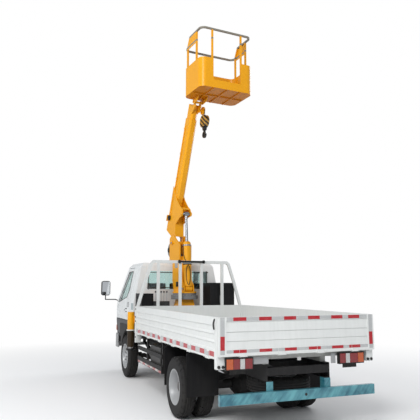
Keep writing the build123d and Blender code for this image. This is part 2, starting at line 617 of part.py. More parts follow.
# Tailgate: a panel pressed in shallow slopes between flat end posts, hinged along its lower edge
# height, depth of the pressing
GATE_FOLDS = ((1003.0, 0.0), (1008.0, 6.0), (1089.0, 14.0), (1095.0, 5.0), (1186.0, 14.0),
              (1192.0, 4.0), (1298.0, 12.0), (1302.0, 0.0))
with BuildPart() as tailgate:
    inner_x = REAR_X + SIDE_THICKNESS
    panel_y = GATE_HALF_WIDTH - TAILGATE_POST
    outline = [(inner_x, TAILGATE_BOTTOM_Z), (REAR_X, TAILGATE_BOTTOM_Z)]
    outline += [(REAR_X + depth, height) for height, depth in GATE_FOLDS]
    outline += [(REAR_X, SIDE_TOP_Z), (inner_x, SIDE_TOP_Z)]
    side_profile(outline, -panel_y, panel_y)
    for side, sign in LEFT_RIGHT:
        box(REAR_X, inner_x, sign * panel_y, sign * GATE_HALF_WIDTH, TAILGATE_BOTTOM_Z, SIDE_TOP_Z)
    for hinge_y in GATE_HINGE_YS:
        cross_bar(REAR_X - HINGE_RADIUS, TAILGATE_BOTTOM_Z, HINGE_RADIUS,
                  hinge_y - HINGE_HALF_LENGTH, hinge_y + HINGE_HALF_LENGTH)
        box(REAR_X - HINGE_STRAP, REAR_X + 2, hinge_y - HINGE_HALF_LENGTH,
            hinge_y + HINGE_HALF_LENGTH, TAILGATE_BOTTOM_Z, TAILGATE_BOTTOM_Z + 60)
save(tailgate, "tailgate")

# Headboard with its rack: tubes up to a top rail with rounded ends, and the boom's rest on it
with BuildPart() as headboard:
    head_y = BED_HALF_WIDTH - 2
    rack_front_x = RACK_X + RACK_DEPTH
    box(RACK_X + SEAT_GAP, rack_front_x, -head_y, head_y, BED_FLOOR_TOP_Z - 60, SIDE_TOP_Z)
    rail_z = RACK_TOP_Z - RACK_BAR / 2
    for side, sign in LEFT_RIGHT:
        with BuildSketch(Plane.YZ.offset(RACK_X + SEAT_GAP)):
            with BuildLine():
                post = Polyline((sign * RACK_FOOT_Y, SIDE_TOP_Z - 20),
                                (sign * RACK_KNEE_Y, RACK_KNEE_Z),
                                (sign * (RACK_HEAD_Y + 30), rail_z - 40),
                                (sign * (RACK_HEAD_Y - 10), rail_z), (0, rail_z))
                offset(post, amount=RACK_BAR / 2, side=Side.BOTH, kind=Kind.INTERSECTION)
            make_face()
        extrude(amount=RACK_DEPTH - SEAT_GAP)
        for bar_y in RACK_BAR_YS:
            box(RACK_X + SEAT_GAP, rack_front_x, sign * bar_y - RACK_BAR / 2,
                sign * bar_y + RACK_BAR / 2, SIDE_TOP_Z - 10, RACK_TOP_Z - 10)
    rest_x = RACK_X - BOOM_REST_RADIUS - 6
    cross_bar(rest_x, BOOM_REST_Z, BOOM_REST_RADIUS, -BOOM_REST_HALF, BOOM_REST_HALF, sides=12)
    for side, sign in LEFT_RIGHT:
        box(rest_x, RACK_X + 10, sign * RACK_BAR_YS[0] - 8, sign * RACK_BAR_YS[0] + 8,
            RACK_TOP_Z - 40, RACK_TOP_Z - 8)
        cross_bar(rest_x, BOOM_REST_Z, BOOM_REST_KNOB, sign * (BOOM_REST_HALF - 20),
                  sign * (BOOM_REST_HALF + 10), sides=12)
save(headboard, "headboard_rack")

# Underrun bar on two brackets below the frame's ends
UNDERRUN_BOTTOM_Z = 433.0
UNDERRUN_TOP_Z = 543.0
UNDERRUN_HALF_WIDTH = 980.0
UNDERRUN_BACK_X = REAR_X + 58
with BuildPart() as underrun:
    box(REAR_X + 8, UNDERRUN_BACK_X, -UNDERRUN_HALF_WIDTH, UNDERRUN_HALF_WIDTH, UNDERRUN_BOTTOM_Z,
        UNDERRUN_TOP_Z)
    for side, sign in LEFT_RIGHT:
        box(UNDERRUN_BACK_X, UNDERRUN_BACK_X + 8, sign * (RAIL_Y - 40), sign * (RAIL_Y + 40),
            UNDERRUN_BOTTOM_Z, RAIL_BOTTOM_Z - SEAT_GAP)
        box(UNDERRUN_BACK_X, UNDERRUN_BACK_X + 92, sign * (RAIL_Y - 40), sign * (RAIL_Y - 32),
            UNDERRUN_BOTTOM_Z, RAIL_BOTTOM_Z - SEAT_GAP)
save(underrun, "underrun_bar")

# Tail lamps: one long cluster a side on a bracket under the bed's rear edge
LAMP_BOTTOM_Z = 788.0
LAMP_TOP_Z = 917.0
LAMP_X = REAR_X + 12
# inner and outer end of the cluster, sign
LAMPS = ((591.0, 911.0, 1), (509.0, 852.0, -1))
with BuildPart() as tail_lamps:
    for inner_y, outer_y, sign in LAMPS:
        middle_y = (inner_y + outer_y) / 2
        box(LAMP_X, LAMP_X + 48, sign * inner_y, sign * outer_y, LAMP_BOTTOM_Z, LAMP_TOP_Z)
        box(LAMP_X + 48, LAMP_X + 54, sign * (middle_y - 95), sign * (middle_y + 95), 740,
            FLOOR_BOTTOM_Z - SEAT_GAP)
save(tail_lamps, "tail_lamps")


# Cab: one pressed shell, the same side view and cross-section at every depth of its wall
def cab_form(depth):
    """The cab's solid form, depth inside its outer skin."""
    with BuildPart() as form:
        with BuildSketch(Plane.XZ):
            with BuildLine():
                Polyline((CAB_REAR_X, CAB_FLOOR_Z), (CAB_REAR_X, CAB_ROOF_Z - 10),
                         (WINDSCREEN_HEAD_X - 90, CAB_ROOF_Z), (WINDSCREEN_HEAD_X, CAB_ROOF_Z - 75),
                         (WINDSCREEN_FOOT_X, CAB_BELT_Z), (CAB_FRONT_X, CAB_BELT_Z - 90),
                         (CAB_FRONT_X, CAB_NOSE_BOTTOM_Z), (CAB_NOSE_REAR_X, CAB_NOSE_BOTTOM_Z),
                         (CAB_NOSE_REAR_X, CAB_FLOOR_Z), close=True)
            make_face()
            roof_corners = vertices().filter_by_position(Axis.Y, CAB_ROOF_Z - 80, CAB_ROOF_Z)
            fillet(roof_corners, ROOF_CORNER + 10)
            offset(amount=-depth)
        extrude(amount=CAB_HALF_WIDTH, both=True)
        with BuildSketch(Plane.YZ.offset(CAB_REAR_X)):
            with BuildLine():
                half = Polyline((0, CAB_ROOF_Z), (ROOF_HALF_WIDTH - 60, CAB_ROOF_Z - 5),
                                (ROOF_HALF_WIDTH, CAB_ROOF_Z - 70), (CAB_HALF_WIDTH, CAB_BELT_Z),
                                (CAB_HALF_WIDTH, CAB_FLOOR_Z + 40),
                                (CAB_HALF_WIDTH - 20, CAB_NOSE_BOTTOM_Z), (0, CAB_NOSE_BOTTOM_Z))
                mirror(half, about=Plane.YZ)
            make_face()
            roof_edges = vertices().filter_by_position(Axis.Y, CAB_ROOF_Z - 75, CAB_ROOF_Z - 1)
            fillet(roof_edges, ROOF_CORNER)
            offset(amount=-depth)
        extrude(amount=CAB_FRONT_X - CAB_REAR_X, mode=Mode.INTERSECT)
    return form.part


# side views, (x, z): the door, and its window with the lower edge rising to the rear
DOOR_OUTLINE = [(DOOR_REAR_X, DOOR_BOTTOM_Z), (DOOR_REAR_X, CAB_ROOF_Z - 90),
                (WINDSCREEN_HEAD_X - 95, CAB_ROOF_Z - 90), (DOOR_FRONT_X, CAB_BELT_Z + 25),
                (DOOR_FRONT_X, DOOR_BOTTOM_Z)]
WINDOW_OUTLINE = [(DOOR_FRONT_X - 680, CAB_BELT_Z + 106), (DOOR_REAR_X + DOOR_FRAME, CAB_BELT_Z + 243),
                  (DOOR_REAR_X + DOOR_FRAME + 10, CAB_ROOF_Z - 165),
                  (WINDSCREEN_HEAD_X - 130, CAB_ROOF_Z - 173),
                  (DOOR_FRONT_X - DOOR_FRAME - 8, CAB_BELT_Z - 5)]
DOOR_CUT_IN = CAB_HALF_WIDTH - 255
DOOR_CUT_OUT = CAB_HALF_WIDTH + 45


def rear_window(gap, mode):
    """The rear window's opening through the rear wall, drawn in by gap."""
    with BuildSketch(Plane.YZ.offset(CAB_REAR_X - CUT)) as opening:
        with Locations((0, REAR_WINDOW_Z)):
            RectangleRounded(REAR_WINDOW_WIDTH - 2 * gap, REAR_WINDOW_HEIGHT - 2 * gap,
                             WINDOW_CORNER - gap)
    extrude(opening.sketch, amount=CAB_WALL + 2 * CUT, mode=mode)


def windscreen(gap, mode):
    """The windscreen's opening, seen from the front, drawn in by gap."""
    foot_z, head_z = CAB_BELT_Z + 40, CAB_ROOF_Z - 115
    start_x = WINDSCREEN_HEAD_X - 70
    with BuildSketch(Plane.YZ.offset(start_x)) as opening:
        with BuildLine() as outline:
            Polyline((-770 + gap, foot_z + gap), (770 - gap, foot_z + gap),
                     (675 - gap, head_z - gap), (-675 + gap, head_z - gap), close=True)
        make_face(outline.edges())
        fillet(vertices(), WINDOW_CORNER - gap)
    extrude(opening.sketch, amount=CAB_FRONT_X - start_x, mode=mode)


cab_skin = cab_form(0)
cab_room = cab_form(CAB_WALL)
glass_out = cab_form(CAB_WALL / 2 - GLASS / 2)
glass_in = cab_form(CAB_WALL / 2 + GLASS / 2)

with BuildPart() as cab_shell:
    add(cab_skin)
    add(cab_room, mode=Mode.SUBTRACT)
    for side, sign in LEFT_RIGHT:
        side_profile(DOOR_OUTLINE, sign * DOOR_CUT_IN, sign * DOOR_CUT_OUT, Mode.SUBTRACT)
    rear_window(0, Mode.SUBTRACT)
    windscreen(0, Mode.SUBTRACT)
    for side, sign in LEFT_RIGHT:
        for hinge_z in DOOR_HINGE_ZS:
            upright_bar(DOOR_FRONT_X, sign * DOOR_HINGE_Y, DOOR_HINGE_RADIUS, hinge_z,
                        hinge_z + DOOR_KNUCKLE, sides=12)
            box(DOOR_FRONT_X, DOOR_FRONT_X + 40, sign * (CAB_HALF_WIDTH - 2), sign * DOOR_HINGE_Y,
                hinge_z, hinge_z + DOOR_KNUCKLE)
save(cab_shell, "cab_shell")

with BuildPart() as cab_glass:
    add(glass_out)
    add(glass_in, mode=Mode.SUBTRACT)
    with BuildPart(mode=Mode.PRIVATE) as panes:
        rear_window(SEAT_GAP, Mode.ADD)
        windscreen(SEAT_GAP, Mode.ADD)
    add(panes.part, mode=Mode.INTERSECT)
save(cab_glass, "cab_glass")

# Doors: the same skin inside the door's outline, with the handle and the hinges' moving halves
for side, sign in LEFT_RIGHT:
    with BuildPart() as door:
        side_profile(DOOR_OUTLINE, sign * DOOR_CUT_IN, sign * DOOR_CUT_OUT, inset=DOOR_GAP)
        add(cab_skin, mode=Mode.INTERSECT)
        add(cab_room, mode=Mode.SUBTRACT)
        side_profile(WINDOW_OUTLINE, sign * DOOR_CUT_IN, sign * DOOR_CUT_OUT, Mode.SUBTRACT)
        box(DOOR_REAR_X + 40, DOOR_REAR_X + 190, sign * (CAB_HALF_WIDTH - 1),
            sign * (CAB_HALF_WIDTH + 26), DOOR_HANDLE_Z - 17, DOOR_HANDLE_Z + 17)
        for hinge_z in DOOR_HINGE_ZS:
            low_z = hinge_z + DOOR_KNUCKLE + SEAT_GAP
            upright_bar(DOOR_FRONT_X, sign * DOOR_HINGE_Y, DOOR_HINGE_RADIUS, low_z,
                        low_z + DOOR_KNUCKLE)
            box(DOOR_FRONT_X - 50, DOOR_FRONT_X, sign * (CAB_HALF_WIDTH - 2), sign * DOOR_HINGE_Y,
                low_z, low_z + DOOR_KNUCKLE)
    save(door, f"cab_door_{side}")
    with BuildPart() as pane:
        side_profile(WINDOW_OUTLINE, sign * DOOR_CUT_IN, sign * DOOR_CUT_OUT, inset=SEAT_GAP)
        add(glass_out, mode=Mode.INTERSECT)
        add(glass_in, mode=Mode.SUBTRACT)
    save(pane, f"door_glass_{side}")

# Cab interior: dashboard with the steering column and wheel, and the seats
ROOM_FLOOR_Z = CAB_FLOOR_Z + CAB_WALL
DASH_FRONT_X = CAB_FRONT_X - CAB_WALL - SEAT_GAP
DASH_HALF_WIDTH = 805.0
STEER_Y = 380.0
STEER_RADIUS = 190.0
STEER_BAR = 26.0
STEER_TILT = 30.0
steer_up = Vector(-sin(radians(STEER_TILT)), 0, cos(radians(STEER_TILT)))
with BuildPart() as dashboard:
    side_profile([(2640, 1130), (2560, 1290), (2600, 1385), (2780, 1375), (2860, 1320),
                  (DASH_FRONT_X, 1250), (DASH_FRONT_X, 1130)], -DASH_HALF_WIDTH, DASH_HALF_WIDTH)
    with BuildSketch(Plane((2440, STEER_Y, 1440), x_dir=(0, 1, 0), z_dir=steer_up)):
        RegularPolygon(STEER_RADIUS + STEER_BAR / 2, 24)
        RegularPolygon(STEER_RADIUS - STEER_BAR / 2, 24, mode=Mode.SUBTRACT)
        with PolarLocations(STEER_RADIUS / 2, 3):
            Rectangle(STEER_RADIUS, 34)
        RegularPolygon(52, 12)
    extrude(amount=STEER_BAR)
    with BuildSketch(Plane((2440, STEER_Y, 1440), x_dir=(0, 1, 0), z_dir=-steer_up)):
        RegularPolygon(30, 8)
    extrude(amount=300)
save(dashboard, "dashboard")

# width, centre y
SEATS = ((500.0, 400.0), (820.0, -300.0))
SEAT_FOOT_Z = ROOM_FLOOR_Z + SEAT_GAP
with BuildPart() as seats:
    for seat_width, seat_y in SEATS:
        low_y, high_y = seat_y - seat_width / 2, seat_y + seat_width / 2
        side_profile([(1620, SEAT_FOOT_Z), (1620, 1230), (2110, 1260), (2130, 1150),
                      (2080, SEAT_FOOT_Z)], low_y, high_y)
        side_profile([(1600, 1150), (1530, 1760), (1630, 1780), (1740, 1245), (1700, 1150)],
                     low_y, high_y)
save(seats, "seats")

# Front bumper with its corner steps, headlamps above it, and the wheel arches with their steps
BUMPER_BOTTOM_Z = 470.0
BUMPER_REAR_X = FRONT_X - 300
with BuildPart() as bumper:
    with BuildSketch(Plane.XY.offset(BUMPER_BOTTOM_Z)):
        with BuildLine():
            Polyline((FRONT_X - 95, -870), (FRONT_X - 20, -840), (FRONT_X, -700), (FRONT_X, 700),
                     (FRONT_X - 20, 840), (FRONT_X - 95, 870), (BUMPER_REAR_X, 870),
                     (BUMPER_REAR_X, 840), (FRONT_X - 105, 830), (FRONT_X - 60, 690),
                     (FRONT_X - 60, -690), (FRONT_X - 105, -830), (BUMPER_REAR_X, -840),
                     (BUMPER_REAR_X, -870), close=True)
        make_face()
    extrude(amount=CAB_NOSE_BOTTOM_Z - BUMPER_BOTTOM_Z - 5)
    with BuildSketch(Plane.YZ.offset(FRONT_X - 130)):
        for side, sign in LEFT_RIGHT:
            with Locations((sign * 560, 600)):
                RectangleRounded(180, 90, 20)
        with Locations((0, 560)):
            RectangleRounded(700, 60, 20)
    extrude(amount=150, mode=Mode.SUBTRACT)
    for side, sign in LEFT_RIGHT:
        box(RAIL_FRONT_X - 100, FRONT_X - 50, sign * (WEB_Y - 50), sign * (WEB_Y - SEAT_GAP),
            RAIL_BOTTOM_Z + RAIL_WALL + SEAT_GAP, MEMBER_BOTTOM_Z - SEAT_GAP)
save(bumper, "front_bumper")

with BuildPart() as headlamps:
    for side, sign in LEFT_RIGHT:
        with BuildSketch(Plane.YZ.offset(CAB_FRONT_X + SEAT_GAP)):
            with Locations((sign * 660, 845)):
                RectangleRounded(290, 150, 30)
        extrude(amount=30, taper=8)
save(headlamps, "headlamps")

ARCH_RADIUS = 480.0
ARCH_INNER_Y = 700.0
ARCH_OUTER_Y = CAB_HALF_WIDTH + 8
ARCH_REAR_X = CAB_REAR_X + 30
ARCH_FRONT_X = CAB_NOSE_REAR_X + 110
ARCH_REAR_Z = 662.0
ARCH_STEP_Z = 560.0
with BuildPart() as arches:
    for side, sign in LEFT_RIGHT:
        inner_y, outer_y = sign * ARCH_INNER_Y, sign * ARCH_OUTER_Y
        box(ARCH_REAR_X, ARCH_FRONT_X, inner_y, outer_y, ARCH_STEP_Z, CAB_FLOOR_Z - SEAT_GAP)
        box(CAB_NOSE_REAR_X - CUT, ARCH_FRONT_X + CUT, inner_y, outer_y, CAB_NOSE_BOTTOM_Z - CUT,
            CAB_FLOOR_Z, Mode.SUBTRACT)
        cross_bar(FRONT_AXLE_X, AXLE_Z, ARCH_RADIUS, inner_y - sign * CUT, outer_y + sign * CUT,
                  Mode.SUBTRACT, 36)
        box(ARCH_REAR_X - CUT, FRONT_AXLE_X, inner_y - sign * CUT, outer_y + sign * CUT,
            ARCH_STEP_Z - CUT, ARCH_REAR_Z, Mode.SUBTRACT)
        box(2470, CAB_NOSE_REAR_X + 80, inner_y + sign * 30, outer_y + sign * CUT, 590,
            CAB_NOSE_BOTTOM_Z - 30, Mode.SUBTRACT)
save(arches, "wheel_arches")

# Mirrors: a bent tube from each front pillar with an upright head
MIRROR_TUBE = 10.0
with BuildPart() as mirrors:
    for side, sign in LEFT_RIGHT:
        with BuildLine() as arm:
            Polyline((WINDSCREEN_FOOT_X - 50, sign * 800, CAB_BELT_Z + 12),
                     (MIRROR_X, sign * 900, CAB_BELT_Z + 45),
                     (MIRROR_X, sign * MIRROR_Y, CAB_BELT_Z + 47),
                     (MIRROR_X, sign * MIRROR_Y, MIRROR_Z - MIRROR_HEIGHT / 2 + 20))
        with BuildSketch(Plane(arm.line @ 0, z_dir=arm.line % 0)):
            RegularPolygon(MIRROR_TUBE, 8)
        sweep(path=arm.line, transition=Transition.RIGHT)
        with BuildSketch(Plane.YZ.offset(MIRROR_X - MIRROR_DEPTH / 2)):
            with Locations((sign * MIRROR_Y, MIRROR_Z)):
                RectangleRounded(MIRROR_WIDTH, MIRROR_HEIGHT, 45)
        extrude(amount=MIRROR_DEPTH)
        add(cab_skin, mode=Mode.SUBTRACT)
save(mirrors, "mirrors")

# Engine, gearbox with the propeller shaft, and the exhaust
ENGINE_REAR_X = 1750.0
ENGINE_FRONT_X = 2420.0
GEARBOX_Z = 640.0
GEARBOX_LENGTH = 400.0
SHAFT_RADIUS = 38.0
SHAFT_BEARING_X = 1150.0
PIPE_RADIUS = 26.0
SILENCER_Y = -240.0
SILENCER_Z = 570.0
SILENCER_RADIUS = 85.0
SILENCER_REAR_X = -700.0
SILENCER_FRONT_X = -80.0
with BuildPart() as engine:
    box(ENGINE_REAR_X, ENGINE_FRONT_X, -300, 300, 520, 940)
    box(1900, 1980, -WEB_Y + SEAT_GAP, WEB_Y - SEAT_GAP, 690, 740)
save(engine, "engine_block")

with BuildPart() as driveline:
    gearbox = Vector(ENGINE_REAR_X - SEAT_GAP, 0, GEARBOX_Z)
    for start, start_radius, end, end_radius in ((0, 150, GEARBOX_LENGTH, 100),
                                                 (GEARBOX_LENGTH - 10, SHAFT_RADIUS,
                                                  ENGINE_REAR_X - SHAFT_BEARING_X, SHAFT_RADIUS)):
        with BuildSketch(Plane(gearbox - Vector(start, 0, 0), x_dir=(0, 1, 0), z_dir=(-1, 0, 0))):
            RegularPolygon(start_radius, 16)
        with BuildSketch(Plane(gearbox - Vector(end, 0, 0), x_dir=(0, 1, 0), z_dir=(-1, 0, 0))):
            RegularPolygon(end_radius, 16)
        loft(ruled=True)
    with BuildLine() as shaft:
        Line((SHAFT_BEARING_X, 0, GEARBOX_Z), (REAR_AXLE_X + BANJO_RADIUS + 5, 0, AXLE_Z + 20))
    with BuildSketch(Plane(shaft.line @ 0, z_dir=shaft.line % 0)):
        RegularPolygon(SHAFT_RADIUS, 16)
    sweep(path=shaft.line)
    box(30, 90, -60, 60, 500, MEMBER_BOTTOM_Z - SEAT_GAP)
    with BuildSketch(Plane.YZ.offset(SILENCER_REAR_X)):
        with Locations((SILENCER_Y, SILENCER_Z)):
            RegularPolygon(SILENCER_RADIUS, 16)
    extrude(amount=SILENCER_FRONT_X - SILENCER_REAR_X)
    for hanger_x in (SILENCER_REAR_X + 80, SILENCER_FRONT_X - 80):
        box(hanger_x - 15, hanger_x + 15, -RAIL_Y - 20, SILENCER_Y - 50, SILENCER_Z + 40,
            RAIL_BOTTOM_Z - SEAT_GAP)
    # front pipe up to the engine, tail pipe out to the side
    for pipe in (((SILENCER_FRONT_X - 10, SILENCER_Y, SILENCER_Z), (1560, SILENCER_Y, SILENCER_Z),
                  (1800, SILENCER_Y, 700)),
                 ((SILENCER_REAR_X + 10, SILENCER_Y, SILENCER_Z), (-760, SILENCER_Y, SILENCER_Z),
                  (-760, -880, SILENCER_Z - 40))):
        with BuildLine() as route:
            Polyline(*pipe)
        with BuildSketch(Plane(route.line @ 0, z_dir=route.line % 0)):
            RegularPolygon(PIPE_RADIUS, 12)
        sweep(path=route.line, transition=Transition.RIGHT)
    add(engine.part, mode=Mode.SUBTRACT)
save(driveline, "driveline")

# Battery box and air tank under the left side, fuel tank under the right, on arms off the rails
ARM_START_Y = RAIL_FACE_Y + SEAT_GAP
# rear, front, inner and outer y, bottom, top
SIDE_BLOCKS = ((-480, 60, 560, 900, 470, 770), (-500, 420, -900, -470, 440, 770),
               (240, 300, ARM_START_Y, 600, 600, 640), (-240, -180, ARM_START_Y, 560, 600, 640),
               (-300, -240, -470, -ARM_START_Y, 600, 700), (200, 260, -470, -ARM_START_Y, 600, 700))
with BuildPart() as side_boxes:
    for block in SIDE_BLOCKS:
        box(*block)
    with BuildSketch(Plane.YZ.offset(110)):
        with Locations((700, 620)):
            RegularPolygon(130, 20)
    extrude(amount=330)
save(side_boxes, "side_tanks")

# Side guards: two rails a side on posts under the bearers
GUARD_LENGTH = 1400.0
GUARD_Y = 930.0
GUARD_RAIL = 20.0
# bottom and top of each rail
GUARD_RAILS = ((435.0, 535.0), (640.0, 700.0))
with BuildPart() as guards:
    for side, sign in LEFT_RIGHT:
        for low_z, high_z in GUARD_RAILS:
            box(-GUARD_LENGTH / 2, GUARD_LENGTH / 2, sign * GUARD_Y, sign * (GUARD_Y + GUARD_RAIL),
                low_z, high_z)
        for post_x in (BEARER_XS[5], BEARER_XS[7]):
            box(post_x - 20, post_x + 20, sign * (GUARD_Y - 28), sign * (GUARD_Y - SEAT_GAP),
                GUARD_RAILS[0][0], BEARER_BOTTOM_Z - SEAT_GAP)
save(guards, "side_guards")

# Rear mudguards: a flap behind and in front of each twin wheel, hung from a bar on two arms
FLAP_THICKNESS = 6.0
FLAP_BOTTOM_Z = 330.0
FLAP_TOP_Z = 820.0
# place behind or before the axle, its bearer
FLAPS = ((-470.0, BEARER_XS[2]), (455.0, BEARER_XS[4]))
with BuildPart() as mudguards:
    for side, sign in LEFT_RIGHT:
        for offset_x, bearer_x in FLAPS:
            flap_x = REAR_AXLE_X + offset_x
            box(flap_x, flap_x + FLAP_THICKNESS, sign * 560, sign * 985, FLAP_BOTTOM_Z, FLAP_TOP_Z)
            box(flap_x - 10, flap_x + 16, sign * 560, sign * 985, FLAP_TOP_Z + SEAT_GAP,
                BEARER_BOTTOM_Z - 20 - SEAT_GAP)
            for arm_y in (620, 860):
                box(min(flap_x - 10, bearer_x), max(flap_x + 16, bearer_x), sign * arm_y,
                    sign * (arm_y + 30), BEARER_BOTTOM_Z - 20, BEARER_BOTTOM_Z - SEAT_GAP)
save(mudguards, "mudguards")


def crane_profile(points, y0, y1, mode=Mode.ADD):
    """A side view in the crane's frame, (x, z), drawn out between two places across it."""
    with BuildSketch(crane_side(max(y0, y1))) as section:
        with BuildLine() as outline:
            Polyline(*points, close=True)
        make_face(outline.edges())
    extrude(section.sketch, amount=abs(y1 - y0), mode=mode)


def boom_profile(points, y0, y1, mode=Mode.ADD):
    """A side view of the boom, (along, up), drawn out between two places across it."""
    with BuildSketch(boom_side(min(y0, y1))) as section:
        with BuildLine() as outline:
            Polyline(*points, close=True)
        make_face(outline.edges())
    extrude(section.sketch, amount=abs(y1 - y0), mode=mode)


def across_crane(x, z, radius, y0, y1, mode=Mode.ADD, sides=0):
    """A bar or bore across the crane at (x, z), round or of so many sides."""
    with BuildSketch(crane_side(y1)) as section:
        with Locations((x, z)):
            rounded(radius, sides)
    extrude(section.sketch, amount=y1 - y0, mode=mode)


def across_boom(along, up, radius, y0, y1, mode=Mode.ADD, sides=0):
    """A bar or bore across the boom at (along, up), round or of so many sides."""
    with BuildSketch(boom_side(y0)) as section:
        with Locations((along, up)):
            rounded(radius, sides)
    extrude(section.sketch, amount=y1 - y0, mode=mode)


# Crane base: a sub-frame on the rails, the outrigger housing across it, and the pedestal
HOUSING_HALF = HOUSING_SIZE / 2
HOUSING_ROOM = HOUSING_HALF - HOUSING_WALL
SUBFRAME_TOP_Z = HOUSING_Z - HOUSING_HALF
DECK_Z = HOUSING_Z + HOUSING_HALF
with BuildPart() as crane_base:
    for side, sign in LEFT_RIGHT:
        box(CRANE_X - 300, CRANE_X + 300, sign * (RAIL_Y - 30), sign * (RAIL_Y + 30), RAIL_TOP_Z,
            SUBFRAME_TOP_Z)
    box(CRANE_X - 200, CRANE_X + 200, -RAIL_Y - 30, RAIL_Y + 30, SUBFRAME_TOP_Z - 60,
        SUBFRAME_TOP_Z)
    box(CRANE_X - HOUSING_HALF, CRANE_X + HOUSING_HALF, -HOUSING_HALF_LENGTH, HOUSING_HALF_LENGTH,
        SUBFRAME_TOP_Z, DECK_Z)
    box(CRANE_X - HOUSING_ROOM, CRANE_X + HOUSING_ROOM, -HOUSING_HALF_LENGTH - CUT,
        HOUSING_HALF_LENGTH + CUT, HOUSING_Z - HOUSING_ROOM, HOUSING_Z + HOUSING_ROOM, Mode.SUBTRACT)
    with BuildSketch(Plane.XY.offset(DECK_Z)):
        with Locations((CRANE_X, 0)):
            Rectangle(300, 360)
    with BuildSketch(Plane.XY.offset(RING_BOTTOM_Z)):
        with Locations((CRANE_X, 0)):
            Rectangle(250, 260)
    loft()
    upright_bar(CRANE_X, 0, RING_RADIUS, RING_BOTTOM_Z, RING_TOP_Z - RING_STEP)
    upright_bar(CRANE_X, 0, RING_RADIUS - 30, RING_TOP_Z - RING_STEP, RING_TOP_Z)
save(crane_base, "crane_base")

# Outrigger beams in the housing, each with its upright jack tube; the legs slide in the tubes
BEAM_SECTION_HALF = HOUSING_ROOM - BEAM_CLEARANCE
for side, sign in LEFT_RIGHT:
    jack_y = sign * JACK_Y
    with BuildPart() as beam:
        box(CRANE_X - BEAM_SECTION_HALF, CRANE_X + BEAM_SECTION_HALF, sign * BEAM_START_Y,
            jack_y - sign * (JACK_RADIUS - 20), HOUSING_Z - HOUSING_ROOM + SEAT_GAP,
            HOUSING_Z + BEAM_SECTION_HALF)
        upright_bar(CRANE_X, jack_y, JACK_RADIUS, JACK_BOTTOM_Z, JACK_TOP_Z)
        upright_bar(CRANE_X, jack_y, PAD_RADIUS, JACK_COLLAR_Z, JACK_COLLAR_Z + JACK_COLLAR, sides=24)
        upright_bar(CRANE_X, jack_y, LEG_RADIUS + BEARING_GAP, JACK_BOTTOM_Z,
                    JACK_TOP_Z - JACK_CAP, Mode.SUBTRACT)
    save(beam, f"outrigger_beam_{side}")
    with BuildPart() as leg:
        pad_top_z = JACK_BOTTOM_Z - PAD_THICKNESS
        upright_bar(CRANE_X, jack_y, LEG_RADIUS, pad_top_z, JACK_TOP_Z - JACK_CAP - 10)
        upright_bar(CRANE_X, jack_y, PAD_RADIUS, pad_top_z - PAD_THICKNESS, pad_top_z, sides=24)
    save(leg, f"outrigger_leg_{side}")

# Tool box and oil tank on feet over the housing, and the bank of control valves
BOX_FOOT = 8.0
with BuildPart() as deck_boxes:
    box(CRANE_X - 200, CRANE_X + 240, 640, 850, DECK_Z + BOX_FOOT, 1555)
    box(CRANE_X - 270, CRANE_X + 270, -880, -400, DECK_Z + BOX_FOOT, 1745)
    for side, sign in LEFT_RIGHT:
        box(CRANE_X - 60, CRANE_X + 60, sign * 700, sign * 800, DECK_Z + SEAT_GAP, DECK_Z + BOX_FOOT)
save(deck_boxes, "deck_boxes")

VALVE_TOP_Z = 1420.0
LEVER_LENGTH = 150.0
LEVER_COUNT = 5
LEVER_PITCH = 52.0
with BuildPart() as valves:
    box(CRANE_X - 160, CRANE_X - 40, 330, 620, VALVE_TOP_Z - 90, VALVE_TOP_Z)
    box(CRANE_X - 60, CRANE_X + 20, 440, 500, DECK_Z + SEAT_GAP, VALVE_TOP_Z - 90)
    for index in range(LEVER_COUNT):
        lever_y = 370 + index * LEVER_PITCH
        knob_z = VALVE_TOP_Z + LEVER_LENGTH
        box(CRANE_X - 116, CRANE_X - 104, lever_y - 6, lever_y + 6, VALVE_TOP_Z, knob_z)
        with BuildSketch(Plane.XY.offset(knob_z)) as knob:
            with Locations((CRANE_X - 110, lever_y)):
                RegularPolygon(14, 6)
        extrude(knob.sketch, amount=28)
save(valves, "control_valves")

